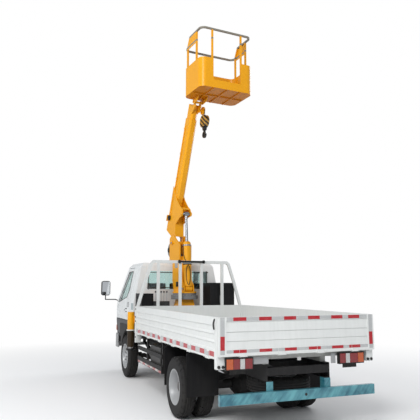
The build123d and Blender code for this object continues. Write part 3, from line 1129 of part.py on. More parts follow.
# Column: turntable, box post and two cheeks that carry the boom's foot pin
TURNTABLE_Z = RING_TOP_Z + SEAT_GAP
POST_Z = TURNTABLE_Z + TURNTABLE
with BuildPart() as column:
    with BuildSketch(crane_level(TURNTABLE_Z)):
        Circle(RING_RADIUS - 25)
    extrude(amount=TURNTABLE)
    crane_profile([(COLUMN_REAR, POST_Z), (COLUMN_FRONT - 60, POST_Z), (COLUMN_FRONT, POST_Z + 200),
                   (COLUMN_FRONT, CHEEK_BOTTOM_Z + 60), (COLUMN_REAR + 72, CHEEK_BOTTOM_Z + 60),
                   (COLUMN_REAR, 1790)], -COLUMN_HALF_WIDTH, COLUMN_HALF_WIDTH)
    cheek = [(COLUMN_REAR + 20, CHEEK_BOTTOM_Z), (CHEEK_FRONT, CHEEK_BOTTOM_Z),
             (CHEEK_FRONT, CHEEK_TOP_Z - 40), (CHEEK_FRONT - 60, CHEEK_TOP_Z),
             (PIN_X - 60, CHEEK_TOP_Z), (COLUMN_REAR + 20, CHEEK_TOP_Z - 190)]
    for side, sign in LEFT_RIGHT:
        crane_profile(cheek, sign * (COLUMN_HALF_WIDTH - CHEEK_PLATE), sign * COLUMN_HALF_WIDTH)
    across_crane(PIN_X, PIN_Z, PIN_RADIUS, -COLUMN_HALF_WIDTH - PIN_HEAD,
                 COLUMN_HALF_WIDTH + PIN_HEAD)
    # lugs for the lift cylinder's foot
    for side, sign in LEFT_RIGHT:
        crane_profile([(COLUMN_REAR + 5, POST_Z - 1), (COLUMN_REAR + 5, BARREL_BASE_Z + 220),
                       (BARREL_BASE_X - 30, BARREL_BASE_Z + 60), (BARREL_BASE_X - 48, POST_Z + 20),
                       (BARREL_BASE_X - 40, POST_Z - 1)], sign * 80, sign * 100)
    across_crane(BARREL_BASE_X, BARREL_BASE_Z, CYLINDER_PIN_RADIUS, -112, 112)
save(column, "crane_column")

with BuildPart() as winch:
    for side, sign in LEFT_RIGHT:
        low_y, high_y = sorted((sign * WINCH_HALF, sign * (WINCH_HALF + WINCH_FLANGE)))
        across_crane(WINCH_X, WINCH_Z, WINCH_RADIUS, low_y, high_y)
        crane_profile([(COLUMN_FRONT + SEAT_GAP, CHEEK_BOTTOM_Z + 10),
                       (WINCH_X + 20, WINCH_Z - 50), (WINCH_X + 50, WINCH_Z),
                       (WINCH_X + 20, WINCH_Z + 50), (WINCH_X - 40, WINCH_Z + 40),
                       (COLUMN_FRONT + SEAT_GAP, CHEEK_BOTTOM_Z + 60)],
                      sign * (WINCH_HALF + WINCH_FLANGE + 3), sign * (WINCH_HALF + 30))
    across_crane(WINCH_X, WINCH_Z, WINCH_DRUM_RADIUS, -WINCH_HALF, WINCH_HALF, sides=20)
    across_crane(WINCH_X, WINCH_Z, 45, -WINCH_HALF - 30, WINCH_HALF + 30, sides=16)
save(winch, "winch")


def boom_tube(start, end, shrink, wall):
    """A length of hexagonal boom tube, shrink smaller all round, open at both ends."""
    with BuildSketch(boom_section(start)) as tube:
        Rectangle(BOOM_WIDTH - 2 * shrink, BOOM_DEPTH - 2 * shrink)
        chamfer(tube.vertices(), BOOM_CHAMFER)
        offset(amount=-wall, mode=Mode.SUBTRACT)
    extrude(tube.sketch, amount=end - start)


# Outer boom: the tube, the deep foot box with its lugs, and the fork for the cylinder's eye
BOOM_BOTTOM = BOOM_LIFT - BOOM_DEPTH / 2
BOOM_TOP = BOOM_LIFT + BOOM_DEPTH / 2
PLATE_IN = BOOM_WIDTH / 2
PLATE_OUT = PLATE_IN + FOOT_PLATE
BRIDGE_START = EYE_ALONG + EYE_ROOM
BRIDGE_END = BRIDGE_START + FOOT_PLATE
BOSS_RADIUS = 38.0
BOSS = 18.0
with BuildPart() as boom_outer:
    boom_tube(BOOM_START, BOOM_OUTER_END, 0, BOOM_WALL)
    boom_tube(BOOM_OUTER_END - WEAR_RING, BOOM_OUTER_END, BOOM_WALL - 0.5,
              INNER_CLEARANCE + 0.5 - SEAT_GAP)
    foot = [(BOOM_START, BOOM_TOP), (BOOM_START + 15, 0), (-20, -50), (-62, -10), (-50, 45),
            (BOOM_START - 50, 130), (BOOM_START - 12, BOOM_TOP - 60)]
    web = [(BOOM_START, BOOM_TOP), (1000, BOOM_TOP), (800, BOOM_BOTTOM - 10),
           (BRIDGE_END + 20, 20), (BRIDGE_END, 30 - EYE_DROP), (EYE_ALONG + 40, -EYE_DROP - 30),
           (EYE_ALONG - 36, -EYE_DROP - 32), (EYE_ALONG - 90, -60), (345, 90),
           (BOOM_START + 15, 0)]
    for side, sign in LEFT_RIGHT:
        boom_profile(foot, sign * PLATE_IN, sign * PLATE_OUT)
        boom_profile(web, sign * PLATE_IN, sign * PLATE_OUT)
        low_y, high_y = sorted((sign * PLATE_OUT, sign * (PLATE_OUT + BOSS)))
        across_boom(EYE_ALONG, -EYE_DROP, BOSS_RADIUS, low_y, high_y, sides=16)
    # floor of the foot box
    boom_profile([(BOOM_START + 15, 0), (345, 90), (560, BOOM_BOTTOM + 3), (572, BOOM_BOTTOM + 3),
                  (350, 90 + FOOT_PLATE), (BOOM_START + 15, FOOT_PLATE)], -PLATE_IN, PLATE_IN)
    # bridge across the fork, beyond the eye
    boom_profile([(BRIDGE_START, 30 - EYE_DROP), (BRIDGE_START, 20), (BRIDGE_END, 20),
                  (BRIDGE_END, 30 - EYE_DROP)], -PLATE_IN, PLATE_IN)
    across_boom(0, 0, PIN_RADIUS + BEARING_GAP, -PLATE_OUT - CUT, PLATE_OUT + CUT, Mode.SUBTRACT)
save(boom_outer, "boom_outer")

# Inner boom: the telescoping section with the head's sheave and the basket's pivot lugs
HEAD_PLATE = 16.0
SHRINK = BOOM_WALL + INNER_CLEARANCE
INNER_BOTTOM = BOOM_BOTTOM + SHRINK
INNER_SIDE = BOOM_WIDTH / 2 - SHRINK
with BuildPart() as boom_inner:
    boom_tube(INNER_START, BOOM_TIP, SHRINK, BOOM_WALL - 1)
    for side, sign in LEFT_RIGHT:
        boom_profile([(BOOM_TIP - 160, INNER_BOTTOM + 40), (BOOM_TIP - 160, INNER_BOTTOM + 2),
                      (BOOM_TIP - 20, BASKET_PIN_RISE - 40),
                      (BASKET_PIN_ALONG + 20, BASKET_PIN_RISE - 38),
                      (BASKET_PIN_ALONG + 34, BASKET_PIN_RISE),
                      (BASKET_PIN_ALONG + 22, BASKET_PIN_RISE + 28),
                      (BOOM_TIP, BASKET_PIN_RISE + 50), (BOOM_TIP, INNER_BOTTOM + 60)],
                     sign * (INNER_SIDE - HEAD_PLATE), sign * INNER_SIDE)
    across_boom(BASKET_PIN_ALONG, BASKET_PIN_RISE, CYLINDER_PIN_RADIUS, -PLATE_IN - 26,
                PLATE_IN + 26)
    # sheave on a stub shaft at the head's right
    across_boom(SHEAVE_ALONG, SHEAVE_RISE, SHEAVE_RADIUS, HOOK_Y - 14, HOOK_Y + 14)
    across_boom(SHEAVE_ALONG, SHEAVE_RISE, 24, HOOK_Y - 22, -INNER_SIDE)
    boom_profile([(SHEAVE_ALONG - 60, INNER_BOTTOM + 60), (SHEAVE_ALONG - 40, SHEAVE_RISE - 30),
                  (SHEAVE_ALONG + 40, SHEAVE_RISE - 30), (SHEAVE_ALONG + 60, INNER_BOTTOM + 60)],
                 -INNER_SIDE - 12, -INNER_SIDE + 2)
save(boom_inner, "boom_inner")

# Lift cylinder: the barrel on its foot pin, and the rod up to the boom's fork
EYE_POINT = boom_point(EYE_ALONG, -EYE_DROP)
FOOT_POINT = crane_point(BARREL_BASE_X, 0, BARREL_BASE_Z)
STROKE_LINE = EYE_POINT - FOOT_POINT
CYLINDER_LENGTH = STROKE_LINE.length
CYLINDER_ALONG = STROKE_LINE.normalized()


def round_bar(start, end, radius, mode=Mode.ADD, sides=0):
    """A length of the lift cylinder, along it from its foot pin, round or of so many sides."""
    section_plane = Plane(origin=FOOT_POINT + CYLINDER_ALONG * start, x_dir=CRANE_LEFT,
                          z_dir=CYLINDER_ALONG)
    with BuildSketch(section_plane) as section:
        rounded(radius, sides)
    extrude(section.sketch, amount=end - start, mode=mode)


with BuildPart() as barrel:
    round_bar(40, BARREL_LENGTH, BARREL_RADIUS)
    round_bar(BARREL_LENGTH, BARREL_LENGTH + GLAND, BARREL_RADIUS - 12)
    across_crane(BARREL_BASE_X, BARREL_BASE_Z, 50, -60, 60, sides=16)
    round_bar(0, 60, 48, sides=16)
    round_bar(80, BARREL_LENGTH + GLAND + CUT, ROD_RADIUS + BEARING_GAP, Mode.SUBTRACT)
    across_crane(BARREL_BASE_X, BARREL_BASE_Z, CYLINDER_PIN_RADIUS + BEARING_GAP, -60 - CUT,
                 60 + CUT, Mode.SUBTRACT)
save(barrel, "lift_barrel")

with BuildPart() as rod:
    round_bar(CYLINDER_LENGTH - ROD_LENGTH, CYLINDER_LENGTH, ROD_RADIUS)
    across_boom(EYE_ALONG, -EYE_DROP, EYE_RADIUS, -40, 40, sides=20)
    across_boom(EYE_ALONG, -EYE_DROP, CYLINDER_PIN_RADIUS, -PLATE_IN + 3, PLATE_IN - 3)
save(rod, "lift_rod")

# Basket: a folded tub with a doorway cut in its rear face, ribs under the floor and two brackets
BASKET_X = BASKET_FRONT - BASKET_LENGTH / 2
ROOM_LENGTH = BASKET_LENGTH - 2 * BASKET_SHEET
ROOM_WIDTH = BASKET_WIDTH - 2 * BASKET_SHEET
ROOM_CORNER = BASKET_CORNER - BASKET_SHEET
RIB_WIDTH = 20.0
RIB_PITCH = 260.0
BRACKET_GAP = 6.0
BASKET_PIN = boom_point(BASKET_PIN_ALONG, BASKET_PIN_RISE)
BASKET_PIN_X = (BASKET_PIN - crane_point(0, 0, 0)).dot(CRANE_AHEAD)
BASKET_PIN_Z = BASKET_PIN.Z


def basket_block(x0, x1, y0, y1, z0, z1, mode=Mode.ADD):
    """A block square to the crane's frame."""
    level = crane_level(z0, (x0 + x1) / 2, (y0 + y1) / 2)
    with BuildSketch(level) as base:
        Rectangle(abs(x1 - x0), abs(y1 - y0))
    extrude(base.sketch, amount=z1 - z0, mode=mode)


with BuildPart() as tub:
    with BuildSketch(crane_level(BASKET_FLOOR_Z, BASKET_X, BASKET_CENTRE_Y)) as floor:
        RectangleRounded(BASKET_LENGTH, BASKET_WIDTH, BASKET_CORNER)
    extrude(floor.sketch, amount=BASKET_WALL_HEIGHT)
    with BuildSketch(crane_level(BASKET_FLOOR_Z + BASKET_SHEET, BASKET_X, BASKET_CENTRE_Y)) as room:
        RectangleRounded(ROOM_LENGTH, ROOM_WIDTH, ROOM_CORNER)
    extrude(room.sketch, amount=BASKET_WALL_HEIGHT, mode=Mode.SUBTRACT)
    rear_x = BASKET_FRONT - BASKET_LENGTH
    basket_block(rear_x - 30, rear_x + 30, BASKET_CENTRE_Y - DOORWAY_WIDTH / 2,
                 BASKET_CENTRE_Y + DOORWAY_WIDTH / 2, BASKET_FLOOR_Z + DOORWAY_SILL,
                 BASKET_FLOOR_Z + BASKET_WALL_HEIGHT + CUT, Mode.SUBTRACT)
    for index in (-1, 0, 1):
        rib_y = BASKET_CENTRE_Y + index * RIB_PITCH
        basket_block(rear_x + 30, BASKET_FRONT - 30, rib_y - RIB_WIDTH / 2, rib_y + RIB_WIDTH / 2,
                     BASKET_FLOOR_Z - BASKET_RIB, BASKET_FLOOR_Z)
    basket_block(BASKET_X - RIB_WIDTH / 2, BASKET_X + RIB_WIDTH / 2,
                 BASKET_CENTRE_Y - BASKET_WIDTH / 2 + 30, BASKET_CENTRE_Y + BASKET_WIDTH / 2 - 30,
                 BASKET_FLOOR_Z - BASKET_RIB, BASKET_FLOOR_Z)
    bracket_in = PLATE_IN + BRACKET_GAP
    for side, sign in LEFT_RIGHT:
        crane_profile([(BASKET_PIN_X - 240, BASKET_FLOOR_Z), (BASKET_PIN_X - 160, BASKET_PIN_Z - 20),
                       (BASKET_PIN_X - 10, BASKET_PIN_Z - 34), (BASKET_PIN_X + 30, BASKET_PIN_Z - 10),
                       (BASKET_PIN_X + 30, BASKET_PIN_Z + 20), (BASKET_PIN_X + 5, BASKET_FLOOR_Z)],
                      sign * bracket_in, sign * (bracket_in + FOOT_PLATE))
    across_crane(BASKET_PIN_X, BASKET_PIN_Z, CYLINDER_PIN_RADIUS + BEARING_GAP, -PLATE_IN - 30,
                 PLATE_IN + 30, Mode.SUBTRACT)
save(tub, "basket_tub")

# Basket rails: a high rail round the rear, sloping down to a lower one round the front, on posts
# inside the walls, with a sheet each side between the posts
HIGH_RAIL_Z = BASKET_FLOOR_Z + BASKET_RAIL_HEIGHT - RAIL_TUBE
LOW_RAIL_Z = HIGH_RAIL_Z - FRONT_RAIL_DROP
POST_START_Z = BASKET_FLOOR_Z + POST_FOOT
REAR_POST_X = BASKET_X - ROOM_LENGTH / 2 + SEAT_GAP
SLOPE_REAR = SIDE_POSTS[1] - 105.0


def hoop(level, x0, x1):
    """The part of a tube hoop inside the walls that lies between x0 and x1."""
    with BuildSketch(crane_level(level)) as ring:
        with Locations((BASKET_X, BASKET_CENTRE_Y)):
            RectangleRounded(ROOM_LENGTH, ROOM_WIDTH, ROOM_CORNER)
            RectangleRounded(ROOM_LENGTH - 2 * RAIL_TUBE, ROOM_WIDTH - 2 * RAIL_TUBE,
                             ROOM_CORNER - RAIL_TUBE, mode=Mode.SUBTRACT)
        with Locations(((x0 + x1) / 2, BASKET_CENTRE_Y)):
            Rectangle(x1 - x0, BASKET_WIDTH, mode=Mode.INTERSECT)
    extrude(ring.sketch, amount=RAIL_TUBE)


with BuildPart() as rails:
    hoop(HIGH_RAIL_Z, BASKET_FRONT - BASKET_LENGTH, SLOPE_REAR)
    hoop(LOW_RAIL_Z, SIDE_POSTS[1] - RAIL_TUBE / 2, BASKET_FRONT)
    for side, sign in LEFT_RIGHT:
        outer_y = BASKET_CENTRE_Y + sign * (ROOM_WIDTH / 2 - SEAT_GAP)
        inner_y = outer_y - sign * RAIL_TUBE
        for post_x, top_z in zip(SIDE_POSTS, (HIGH_RAIL_Z, LOW_RAIL_Z + RAIL_TUBE)):
            basket_block(post_x - RAIL_TUBE / 2, post_x + RAIL_TUBE / 2, outer_y, inner_y,
                         POST_START_Z, top_z)
        crane_profile([(SLOPE_REAR - 1, HIGH_RAIL_Z), (SLOPE_REAR - 1, HIGH_RAIL_Z + RAIL_TUBE),
                       (SLOPE_REAR + 12, HIGH_RAIL_Z + RAIL_TUBE),
                       (SIDE_POSTS[1] + 6, LOW_RAIL_Z + RAIL_TUBE),
                       (SIDE_POSTS[1] - 12, LOW_RAIL_Z)], outer_y, inner_y)
        sheet_z = HIGH_RAIL_Z + RAIL_TUBE / 2 - SIDE_SHEET_HEIGHT
        crane_profile([(SIDE_POSTS[0], sheet_z), (SIDE_POSTS[1], sheet_z),
                       (SIDE_POSTS[1], LOW_RAIL_Z + RAIL_TUBE / 2),
                       (SLOPE_REAR, HIGH_RAIL_Z + RAIL_TUBE / 2),
                       (SIDE_POSTS[0], HIGH_RAIL_Z + RAIL_TUBE / 2)],
                      outer_y, outer_y - sign * BASKET_SHEET)
        post_y = BASKET_CENTRE_Y + sign * (DOORWAY_WIDTH / 2 + RAIL_TUBE / 2)
        basket_block(REAR_POST_X, REAR_POST_X + RAIL_TUBE, post_y - RAIL_TUBE / 2,
                     post_y + RAIL_TUBE / 2, POST_START_Z, HIGH_RAIL_Z)
save(rails, "basket_rails")

# Hook block: two cheek plates with the sheave between them, the hook, and the falls of rope
SHEAVE_POINT = boom_point(SHEAVE_ALONG, SHEAVE_RISE)
SHEAVE_X = (SHEAVE_POINT - crane_point(0, 0, 0)).dot(CRANE_AHEAD)
SHEAVE_Z = SHEAVE_POINT.Z
BLOCK_X = SHEAVE_X - SHEAVE_RADIUS
HOOK_PLATE = 32.0
with BuildPart() as hook:
    half = HOOK_BLOCK_WIDTH / 2
    across_crane(BLOCK_X, HOOK_BLOCK_Z, HOOK_BLOCK_RADIUS, HOOK_Y - half, HOOK_Y + half)
    across_crane(BLOCK_X, HOOK_BLOCK_Z, 34, HOOK_Y - half - 10, HOOK_Y + half + 5, sides=12)
    crane_profile([(BLOCK_X - 45, HOOK_BLOCK_Z - 100), (BLOCK_X - 30, HOOK_BLOCK_Z - 168),
                   (BLOCK_X + 30, HOOK_BLOCK_Z - 168), (BLOCK_X + 45, HOOK_BLOCK_Z - 100)],
                  HOOK_Y - 28, HOOK_Y + 28)
    with BuildSketch(crane_side(HOOK_Y + HOOK_PLATE / 2)) as claw:
        with Locations((BLOCK_X + 6, HOOK_BLOCK_Z - 250)):
            Circle(62)
        with Locations((BLOCK_X + 10, HOOK_BLOCK_Z - 246)):
            Circle(32, mode=Mode.SUBTRACT)
        with Locations((BLOCK_X - 60, HOOK_BLOCK_Z - 214)):
            Rectangle(80, 56, mode=Mode.SUBTRACT)
        with Locations((BLOCK_X + 6, HOOK_BLOCK_Z - 180)):
            Rectangle(30, 44)
    extrude(claw.sketch, amount=HOOK_PLATE)
    with BuildSketch(crane_level(HOOK_BLOCK_Z, BLOCK_X - ROPE_RADIUS - SEAT_GAP, HOOK_Y)) as fall:
        Circle(ROPE_RADIUS)
    extrude(fall.sketch, amount=SHEAVE_Z - HOOK_BLOCK_Z)
save(hook, "hook_block")
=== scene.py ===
import bpy
from math import cos, pi, radians, sin
from mathutils import Matrix, Vector


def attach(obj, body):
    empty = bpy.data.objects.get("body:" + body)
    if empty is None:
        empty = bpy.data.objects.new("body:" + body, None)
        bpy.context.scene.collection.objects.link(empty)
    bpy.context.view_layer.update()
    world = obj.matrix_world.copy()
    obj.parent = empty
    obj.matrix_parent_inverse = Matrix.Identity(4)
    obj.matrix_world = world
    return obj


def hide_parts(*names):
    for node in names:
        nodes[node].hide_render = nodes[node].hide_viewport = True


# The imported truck: every node keeps its place and its mesh, and the pieces below are fitted to it.
# X runs to the front, Y to the left and Z up, in metres; the ground lies at zero.
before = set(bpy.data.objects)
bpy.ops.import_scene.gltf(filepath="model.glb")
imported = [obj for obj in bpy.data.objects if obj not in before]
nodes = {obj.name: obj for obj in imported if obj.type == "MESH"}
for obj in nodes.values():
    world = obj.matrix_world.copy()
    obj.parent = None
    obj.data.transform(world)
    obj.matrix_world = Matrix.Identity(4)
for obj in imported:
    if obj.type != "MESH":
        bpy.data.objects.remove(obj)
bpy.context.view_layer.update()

# Camera: low behind the truck and to its left, about eight metres off, looking slightly up.
# The lens is that of the photo, fitted on the straight edges of the bed and the cab.
bpy.ops.object.camera_add(location=(-8.289, 3.189, 1.659),
                          rotation=(radians(98.277), 0, radians(-111.491)))
camera = bpy.context.object
camera.data.lens = 45.70
camera.data.sensor_width = 36
bpy.context.scene.camera = camera

# Studio: a large pale floor that fades to white away from the truck, a white backdrop, soft light
# from all round, and broad lamps behind the camera, at the left and on the far side.
scene = bpy.context.scene
scene.view_settings.view_transform = "Standard"


def add_node(tree, kind, sockets=(), **settings):
    """A node with its settings made and its sockets set or linked, as (socket, value) pairs."""
    made = tree.nodes.new(kind)
    for name, value in settings.items():
        setattr(made, name, value)
    for socket, value in sockets:
        if isinstance(value, bpy.types.NodeSocket):
            tree.links.new(value, made.inputs[socket])
        else:
            made.inputs[socket].default_value = value
    return made


def blank_tree(holder):
    """The emptied node tree of a material or world."""
    holder.use_nodes = True
    holder.node_tree.nodes.clear()
    return holder.node_tree


def new_finish(name):
    """A material and its empty node tree."""
    finish = bpy.data.materials.new(name)
    return finish, blank_tree(finish)


def object_space(tree):
    """Object coordinates; all pieces share the truck's origin at rest."""
    return add_node(tree, "ShaderNodeTexCoord").outputs["Object"]


def maths(tree, operation, *values, clamp=False):
    """The result of a calculation with sockets and numbers."""
    return add_node(tree, "ShaderNodeMath", enumerate(values), operation=operation,
                    use_clamp=clamp).outputs[0]


def ramp(tree, value, low, high, start=0.0, end=1.0):
    """A value carried from one range to another and held at its ends."""
    return add_node(tree, "ShaderNodeMapRange",
                    [("Value", value), ("From Min", low), ("From Max", high), ("To Min", start),
                     ("To Max", end)]).outputs[0]


world = bpy.data.worlds.new("studio")
scene.world = world
tree = blank_tree(world)
ray = add_node(tree, "ShaderNodeLightPath").outputs
seen = maths(tree, "MAXIMUM", ray["Is Camera Ray"], ray["Is Transmission Ray"])
fill = add_node(tree, "ShaderNodeBackground", [("Color", (0.93, 0.96, 1.0, 1)), ("Strength", 0.52)])
white = add_node(tree, "ShaderNodeBackground", [("Color", (1, 1, 1, 1)), ("Strength", 1.0)])
sky = add_node(tree, "ShaderNodeMixShader", [(0, seen), (1, fill.outputs[0]),
                                             (2, white.outputs[0])])
add_node(tree, "ShaderNodeOutputWorld", [("Surface", sky.outputs[0])])
for name, place, target_height, size, power in (("key_lamp", (-9.0, 6.5, 8.5), 1.8, 4.0, 900),
                                                ("side_lamp", (1.0, 10.0, 5.0), 1.6, 5.0, 230),
                                                ("far_lamp", (5.0, -8.0, 7.0), 1.5, 5.0, 260)):
    bpy.ops.object.light_add(type="AREA", location=place)
    lamp = bpy.context.object
    lamp.name = name
    lamp.data.size = size
    lamp.data.energy = power
    aim = Vector((0, 0, target_height)) - Vector(place)
    lamp.rotation_euler = aim.to_track_quat("-Z", "Y").to_euler()

FADE_START, FADE_END = 3.6, 9.0
bpy.ops.mesh.primitive_circle_add(vertices=64, radius=60, fill_type="NGON", location=(0, 0, -0.002))
floor = bpy.context.object
floor.name = "studio_floor"
floor_finish, tree = new_finish("studio_floor")
reach = add_node(tree, "ShaderNodeVectorMath", [(0, object_space(tree))], operation="LENGTH")
fade = ramp(tree, reach.outputs["Value"], FADE_START, FADE_END)
far = maths(tree, "MULTIPLY", fade, add_node(tree, "ShaderNodeLightPath").outputs["Is Camera Ray"])
paper = add_node(tree, "ShaderNodeBsdfDiffuse", [("Color", (0.93, 0.93, 0.93, 1))])
glow = add_node(tree, "ShaderNodeEmission", [("Color", (1, 1, 1, 1)), ("Strength", 1.0)])
sheet = add_node(tree, "ShaderNodeMixShader", [(0, far), (1, paper.outputs[0]),
                                               (2, glow.outputs[0])])
add_node(tree, "ShaderNodeOutputMaterial", [("Surface", sheet.outputs[0])])
floor.data.materials.append(floor_finish)

# Cab shell and doors: pressed steel panels, sprayed gloss white above a black lower body, with road
# dust low down and rain streaks. Black rubber seals hold the glass.


def noise(tree, place, scale, detail, roughness=0.5):
    """Cloudy noise between nought and one."""
    return add_node(tree, "ShaderNodeTexNoise", [("Vector", place), ("Scale", scale),
                                                 ("Detail", detail),
                                                 ("Roughness", roughness)]).outputs["Fac"]


def scaled(tree, colour, factor):
    """A colour made lighter or darker."""
    return add_node(tree, "ShaderNodeVectorMath", [(0, colour), ("Scale", factor)],
                    operation="SCALE").outputs[0]


def blend(tree, share, first, second):
    """A mix of two colours."""
    return add_node(tree, "ShaderNodeMix", [(0, share), (6, first), (7, second)],
                    data_type="RGBA").outputs[2]


def height_of(tree):
    """The height in object space, at rest the one above the ground."""
    return add_node(tree, "ShaderNodeSeparateXYZ", [(0, object_space(tree))]).outputs["Z"]


def raised(tree, height, strength, distance):
    """The normal of a fine relief."""
    return add_node(tree, "ShaderNodeBump", [("Height", height), ("Strength", strength),
                                             ("Distance", distance)]).outputs[0]


def surface(tree, *sockets):
    """Closes a material's tree with its surface, from (socket, value) pairs."""
    skin = add_node(tree, "ShaderNodeBsdfPrincipled", sockets)
    add_node(tree, "ShaderNodeOutputMaterial", [("Surface", skin.outputs[0])])


def wear_group():
    """Dust, streaks and small stains over a paint, thicker near the ground."""
    group = bpy.data.node_groups.new("road_wear", "ShaderNodeTree")
    for name, in_out, kind in (("Paint", "INPUT", "NodeSocketColor"),
                               ("Dust", "INPUT", "NodeSocketColor"),
                               ("Amount", "INPUT", "NodeSocketFloat"),
                               ("Gloss", "INPUT", "NodeSocketFloat"),
                               ("Grain", "INPUT", "NodeSocketFloat"),
                               ("Colour", "OUTPUT", "NodeSocketColor"),
                               ("Roughness", "OUTPUT", "NodeSocketFloat"),
                               ("Height", "OUTPUT", "NodeSocketFloat")):
        group.interface.new_socket(name=name, in_out=in_out, socket_type=kind)
    taken = add_node(group, "NodeGroupInput").outputs
    place = object_space(group)
    cloud = noise(group, place, 2.3, 5.0, 0.62)
    drawn = add_node(group, "ShaderNodeMapping", [("Vector", place), ("Scale", (16.0, 16.0, 1.1))])
    streak = noise(group, drawn.outputs[0], 1.6, 4.0, 0.6)
    fine = noise(group, place, taken["Grain"], 4.0, 0.6)
    spray = ramp(group, height_of(group), 0.25, 1.25, 0.55, 0.0)
    spread = ramp(group, maths(group, "ADD", cloud, streak), 0.86, 1.34)
    speck = ramp(group, fine, 0.3, 0.75, 0.55, 1.25)
    mask = maths(group, "MULTIPLY", maths(group, "ADD", spread, spray), speck)
    mask = maths(group, "MULTIPLY", mask, taken["Amount"], clamp=True)
    shade = scaled(group, taken["Paint"], ramp(group, cloud, 0.25, 0.75, 0.93, 1.04))
    rough = maths(group, "MULTIPLY_ADD", mask, 0.45, taken["Gloss"], clamp=True)
    add_node(group, "NodeGroupOutput", [("Colour", blend(group, mask, shade, taken["Dust"])),
                                        ("Roughness", rough), ("Height", fine)])
    return group


road_wear = wear_group()


def worn_finish(name, colour, dust=(0.30, 0.27, 0.23), amount=0.3, gloss=0.3, grain=90.0,
                relief=0.0004, strength=0.5, metallic=0.0, coat=0.0, shine=0.5):
    """A finish of one base colour under road wear, with a fine relief."""
    finish, tree = new_finish(name)
    wear = add_node(tree, "ShaderNodeGroup", [("Paint", (*colour, 1)), ("Dust", (*dust, 1)),
                                              ("Amount", amount), ("Gloss", gloss),
                                              ("Grain", grain)], node_tree=road_wear).outputs
    surface(tree, ("Base Color", wear["Colour"]), ("Roughness", wear["Roughness"]),
            ("Normal", raised(tree, wear["Height"], strength, relief)), ("Metallic", metallic),
            ("Coat Weight", coat), ("Coat Roughness", 0.12), ("Specular IOR Level", shine))
    return finish


def banded(finish, *bands):
    """Paints a worn finish, and its dust, in another colour between two heights, band by band."""
    tree = finish.node_tree
    wear = [made for made in tree.nodes if made.type == "GROUP"][0]
    for colour, low, high in bands:
        height = height_of(tree)
        band = maths(tree, "MULTIPLY", maths(tree, "GREATER_THAN", height, low),
                     maths(tree, "LESS_THAN", height, high))
        dusty = [part * 0.6 + 0.012 for part in colour]
        for socket, tone in ((wear.inputs["Paint"], colour), (wear.inputs["Dust"], dusty)):
            first = socket.links[0].from_socket if socket.is_linked else tuple(socket.default_value)
            tree.links.new(blend(tree, band, first, (*tone, 1)), socket)
    return finish


def dress(finish, *names):
    """Gives model nodes their finish."""
    for name in names:
        nodes[name].data.materials.clear()
        nodes[name].data.materials.append(finish)


def pick(*pieces):
    """Selects these pieces alone, with the first one active."""
    bpy.ops.object.select_all(action="DESELECT")
    for piece in pieces:
        piece.select_set(True)
    bpy.context.view_layer.objects.active = pieces[0]


def block(name, corner, opposite, edge=0.004, rings=2):
    """A block between two opposite corners, its edges eased."""
    bpy.ops.object.select_all(action="DESELECT")
    centre = [(a + b) / 2 for a, b in zip(corner, opposite)]
    bpy.ops.mesh.primitive_cube_add(size=1, location=centre)
    piece = bpy.context.object
    piece.name = name
    piece.scale = [abs(b - a) for a, b in zip(corner, opposite)]
    bpy.ops.object.transform_apply(location=True, rotation=True, scale=True)
    bpy.ops.object.mode_set(mode="EDIT")
    bpy.ops.mesh.select_all(action="SELECT")
    bpy.ops.mesh.bevel(offset=edge, segments=rings, affect="EDGES")
    bpy.ops.object.mode_set(mode="OBJECT")
    return piece


def join(name, pieces):
    """Several pieces as one."""
    pick(*pieces)
    bpy.ops.object.join()
    pieces[0].name = name
    return pieces[0]


def fit(piece, finish, body):
    """Gives a new piece its finish and the body it rides on."""
    piece.data.materials.clear()
    piece.data.materials.append(finish)
    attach(piece, body)
    return piece


def tube(name, points, radius, sides=12, order=3, closed=False):
    """A round tube or hose that runs smoothly through a course of points."""
    bpy.ops.object.select_all(action="DESELECT")
    bpy.ops.curve.primitive_nurbs_path_add()
    course = bpy.context.object
    course.name = name
    course.data.splines.clear()
    spline = course.data.splines.new("NURBS")
    spline.points.add(len(points) - 1)
    for knot, point in zip(spline.points, points):
        knot.co = (*point, 1)
    spline.order_u = order
    spline.use_endpoint_u = not closed
    spline.use_cyclic_u = closed
    spline.resolution_u = 6
    course.data.dimensions = "3D"
    course.data.bevel_depth = radius
    course.data.bevel_resolution = max(1, sides // 4 - 1)
    course.data.use_fill_caps = True
    bpy.ops.object.convert(target="MESH")
    bpy.ops.object.shade_smooth_by_angle(angle=radians(50))
    return bpy.context.object


white_cab = worn_finish("cab_white", (0.80, 0.82, 0.82), amount=0.16, gloss=0.26, coat=0.12,
                        relief=0.0001, shine=0.3)
banded(white_cab, ((0.010, 0.010, 0.011), 0.0, 1.048))
seal_rubber = worn_finish("seal_rubber", (0.022, 0.022, 0.024), amount=0.25, gloss=0.6, grain=220)
black_trim = worn_finish("black_trim", (0.012, 0.012, 0.013), amount=0.10, gloss=0.5, grain=160,
                         shine=0.25)


def fit_black(piece, body="truck"):
    """Fits a black moulding."""
    return fit(piece, black_trim, body)


plate_tint = worn_finish("plate_tint", (0.36, 0.43, 0.44), amount=0.15, gloss=0.4, grain=200)
dress(white_cab, "cab_shell", "cab_door_left", "cab_door_right")

# The rear window's seal, a bead on the wall that laps over itself at the corners, and a blank plate
# on the quarter behind the left door.
SEAL_X = 1.4665
window_ring = [(SEAL_X, y, z) for y, z in (
    (-0.577775, 1.628), (-0.605, 1.658), (0.605, 1.658), (0.577775, 1.628),
    (0.577775, 1.972), (0.605, 1.942), (-0.605, 1.942), (-0.577775, 1.972))]
seal = tube("rear_window_seal", window_ring, 0.008, order=2, closed=True)
fit(seal, seal_rubber, "truck")
plate = block("cab_side_plate", (1.492, 0.8552, 1.252), (1.668, 0.8568, 1.372), 0.0006, 1)
fit(plate, plate_tint, "truck")

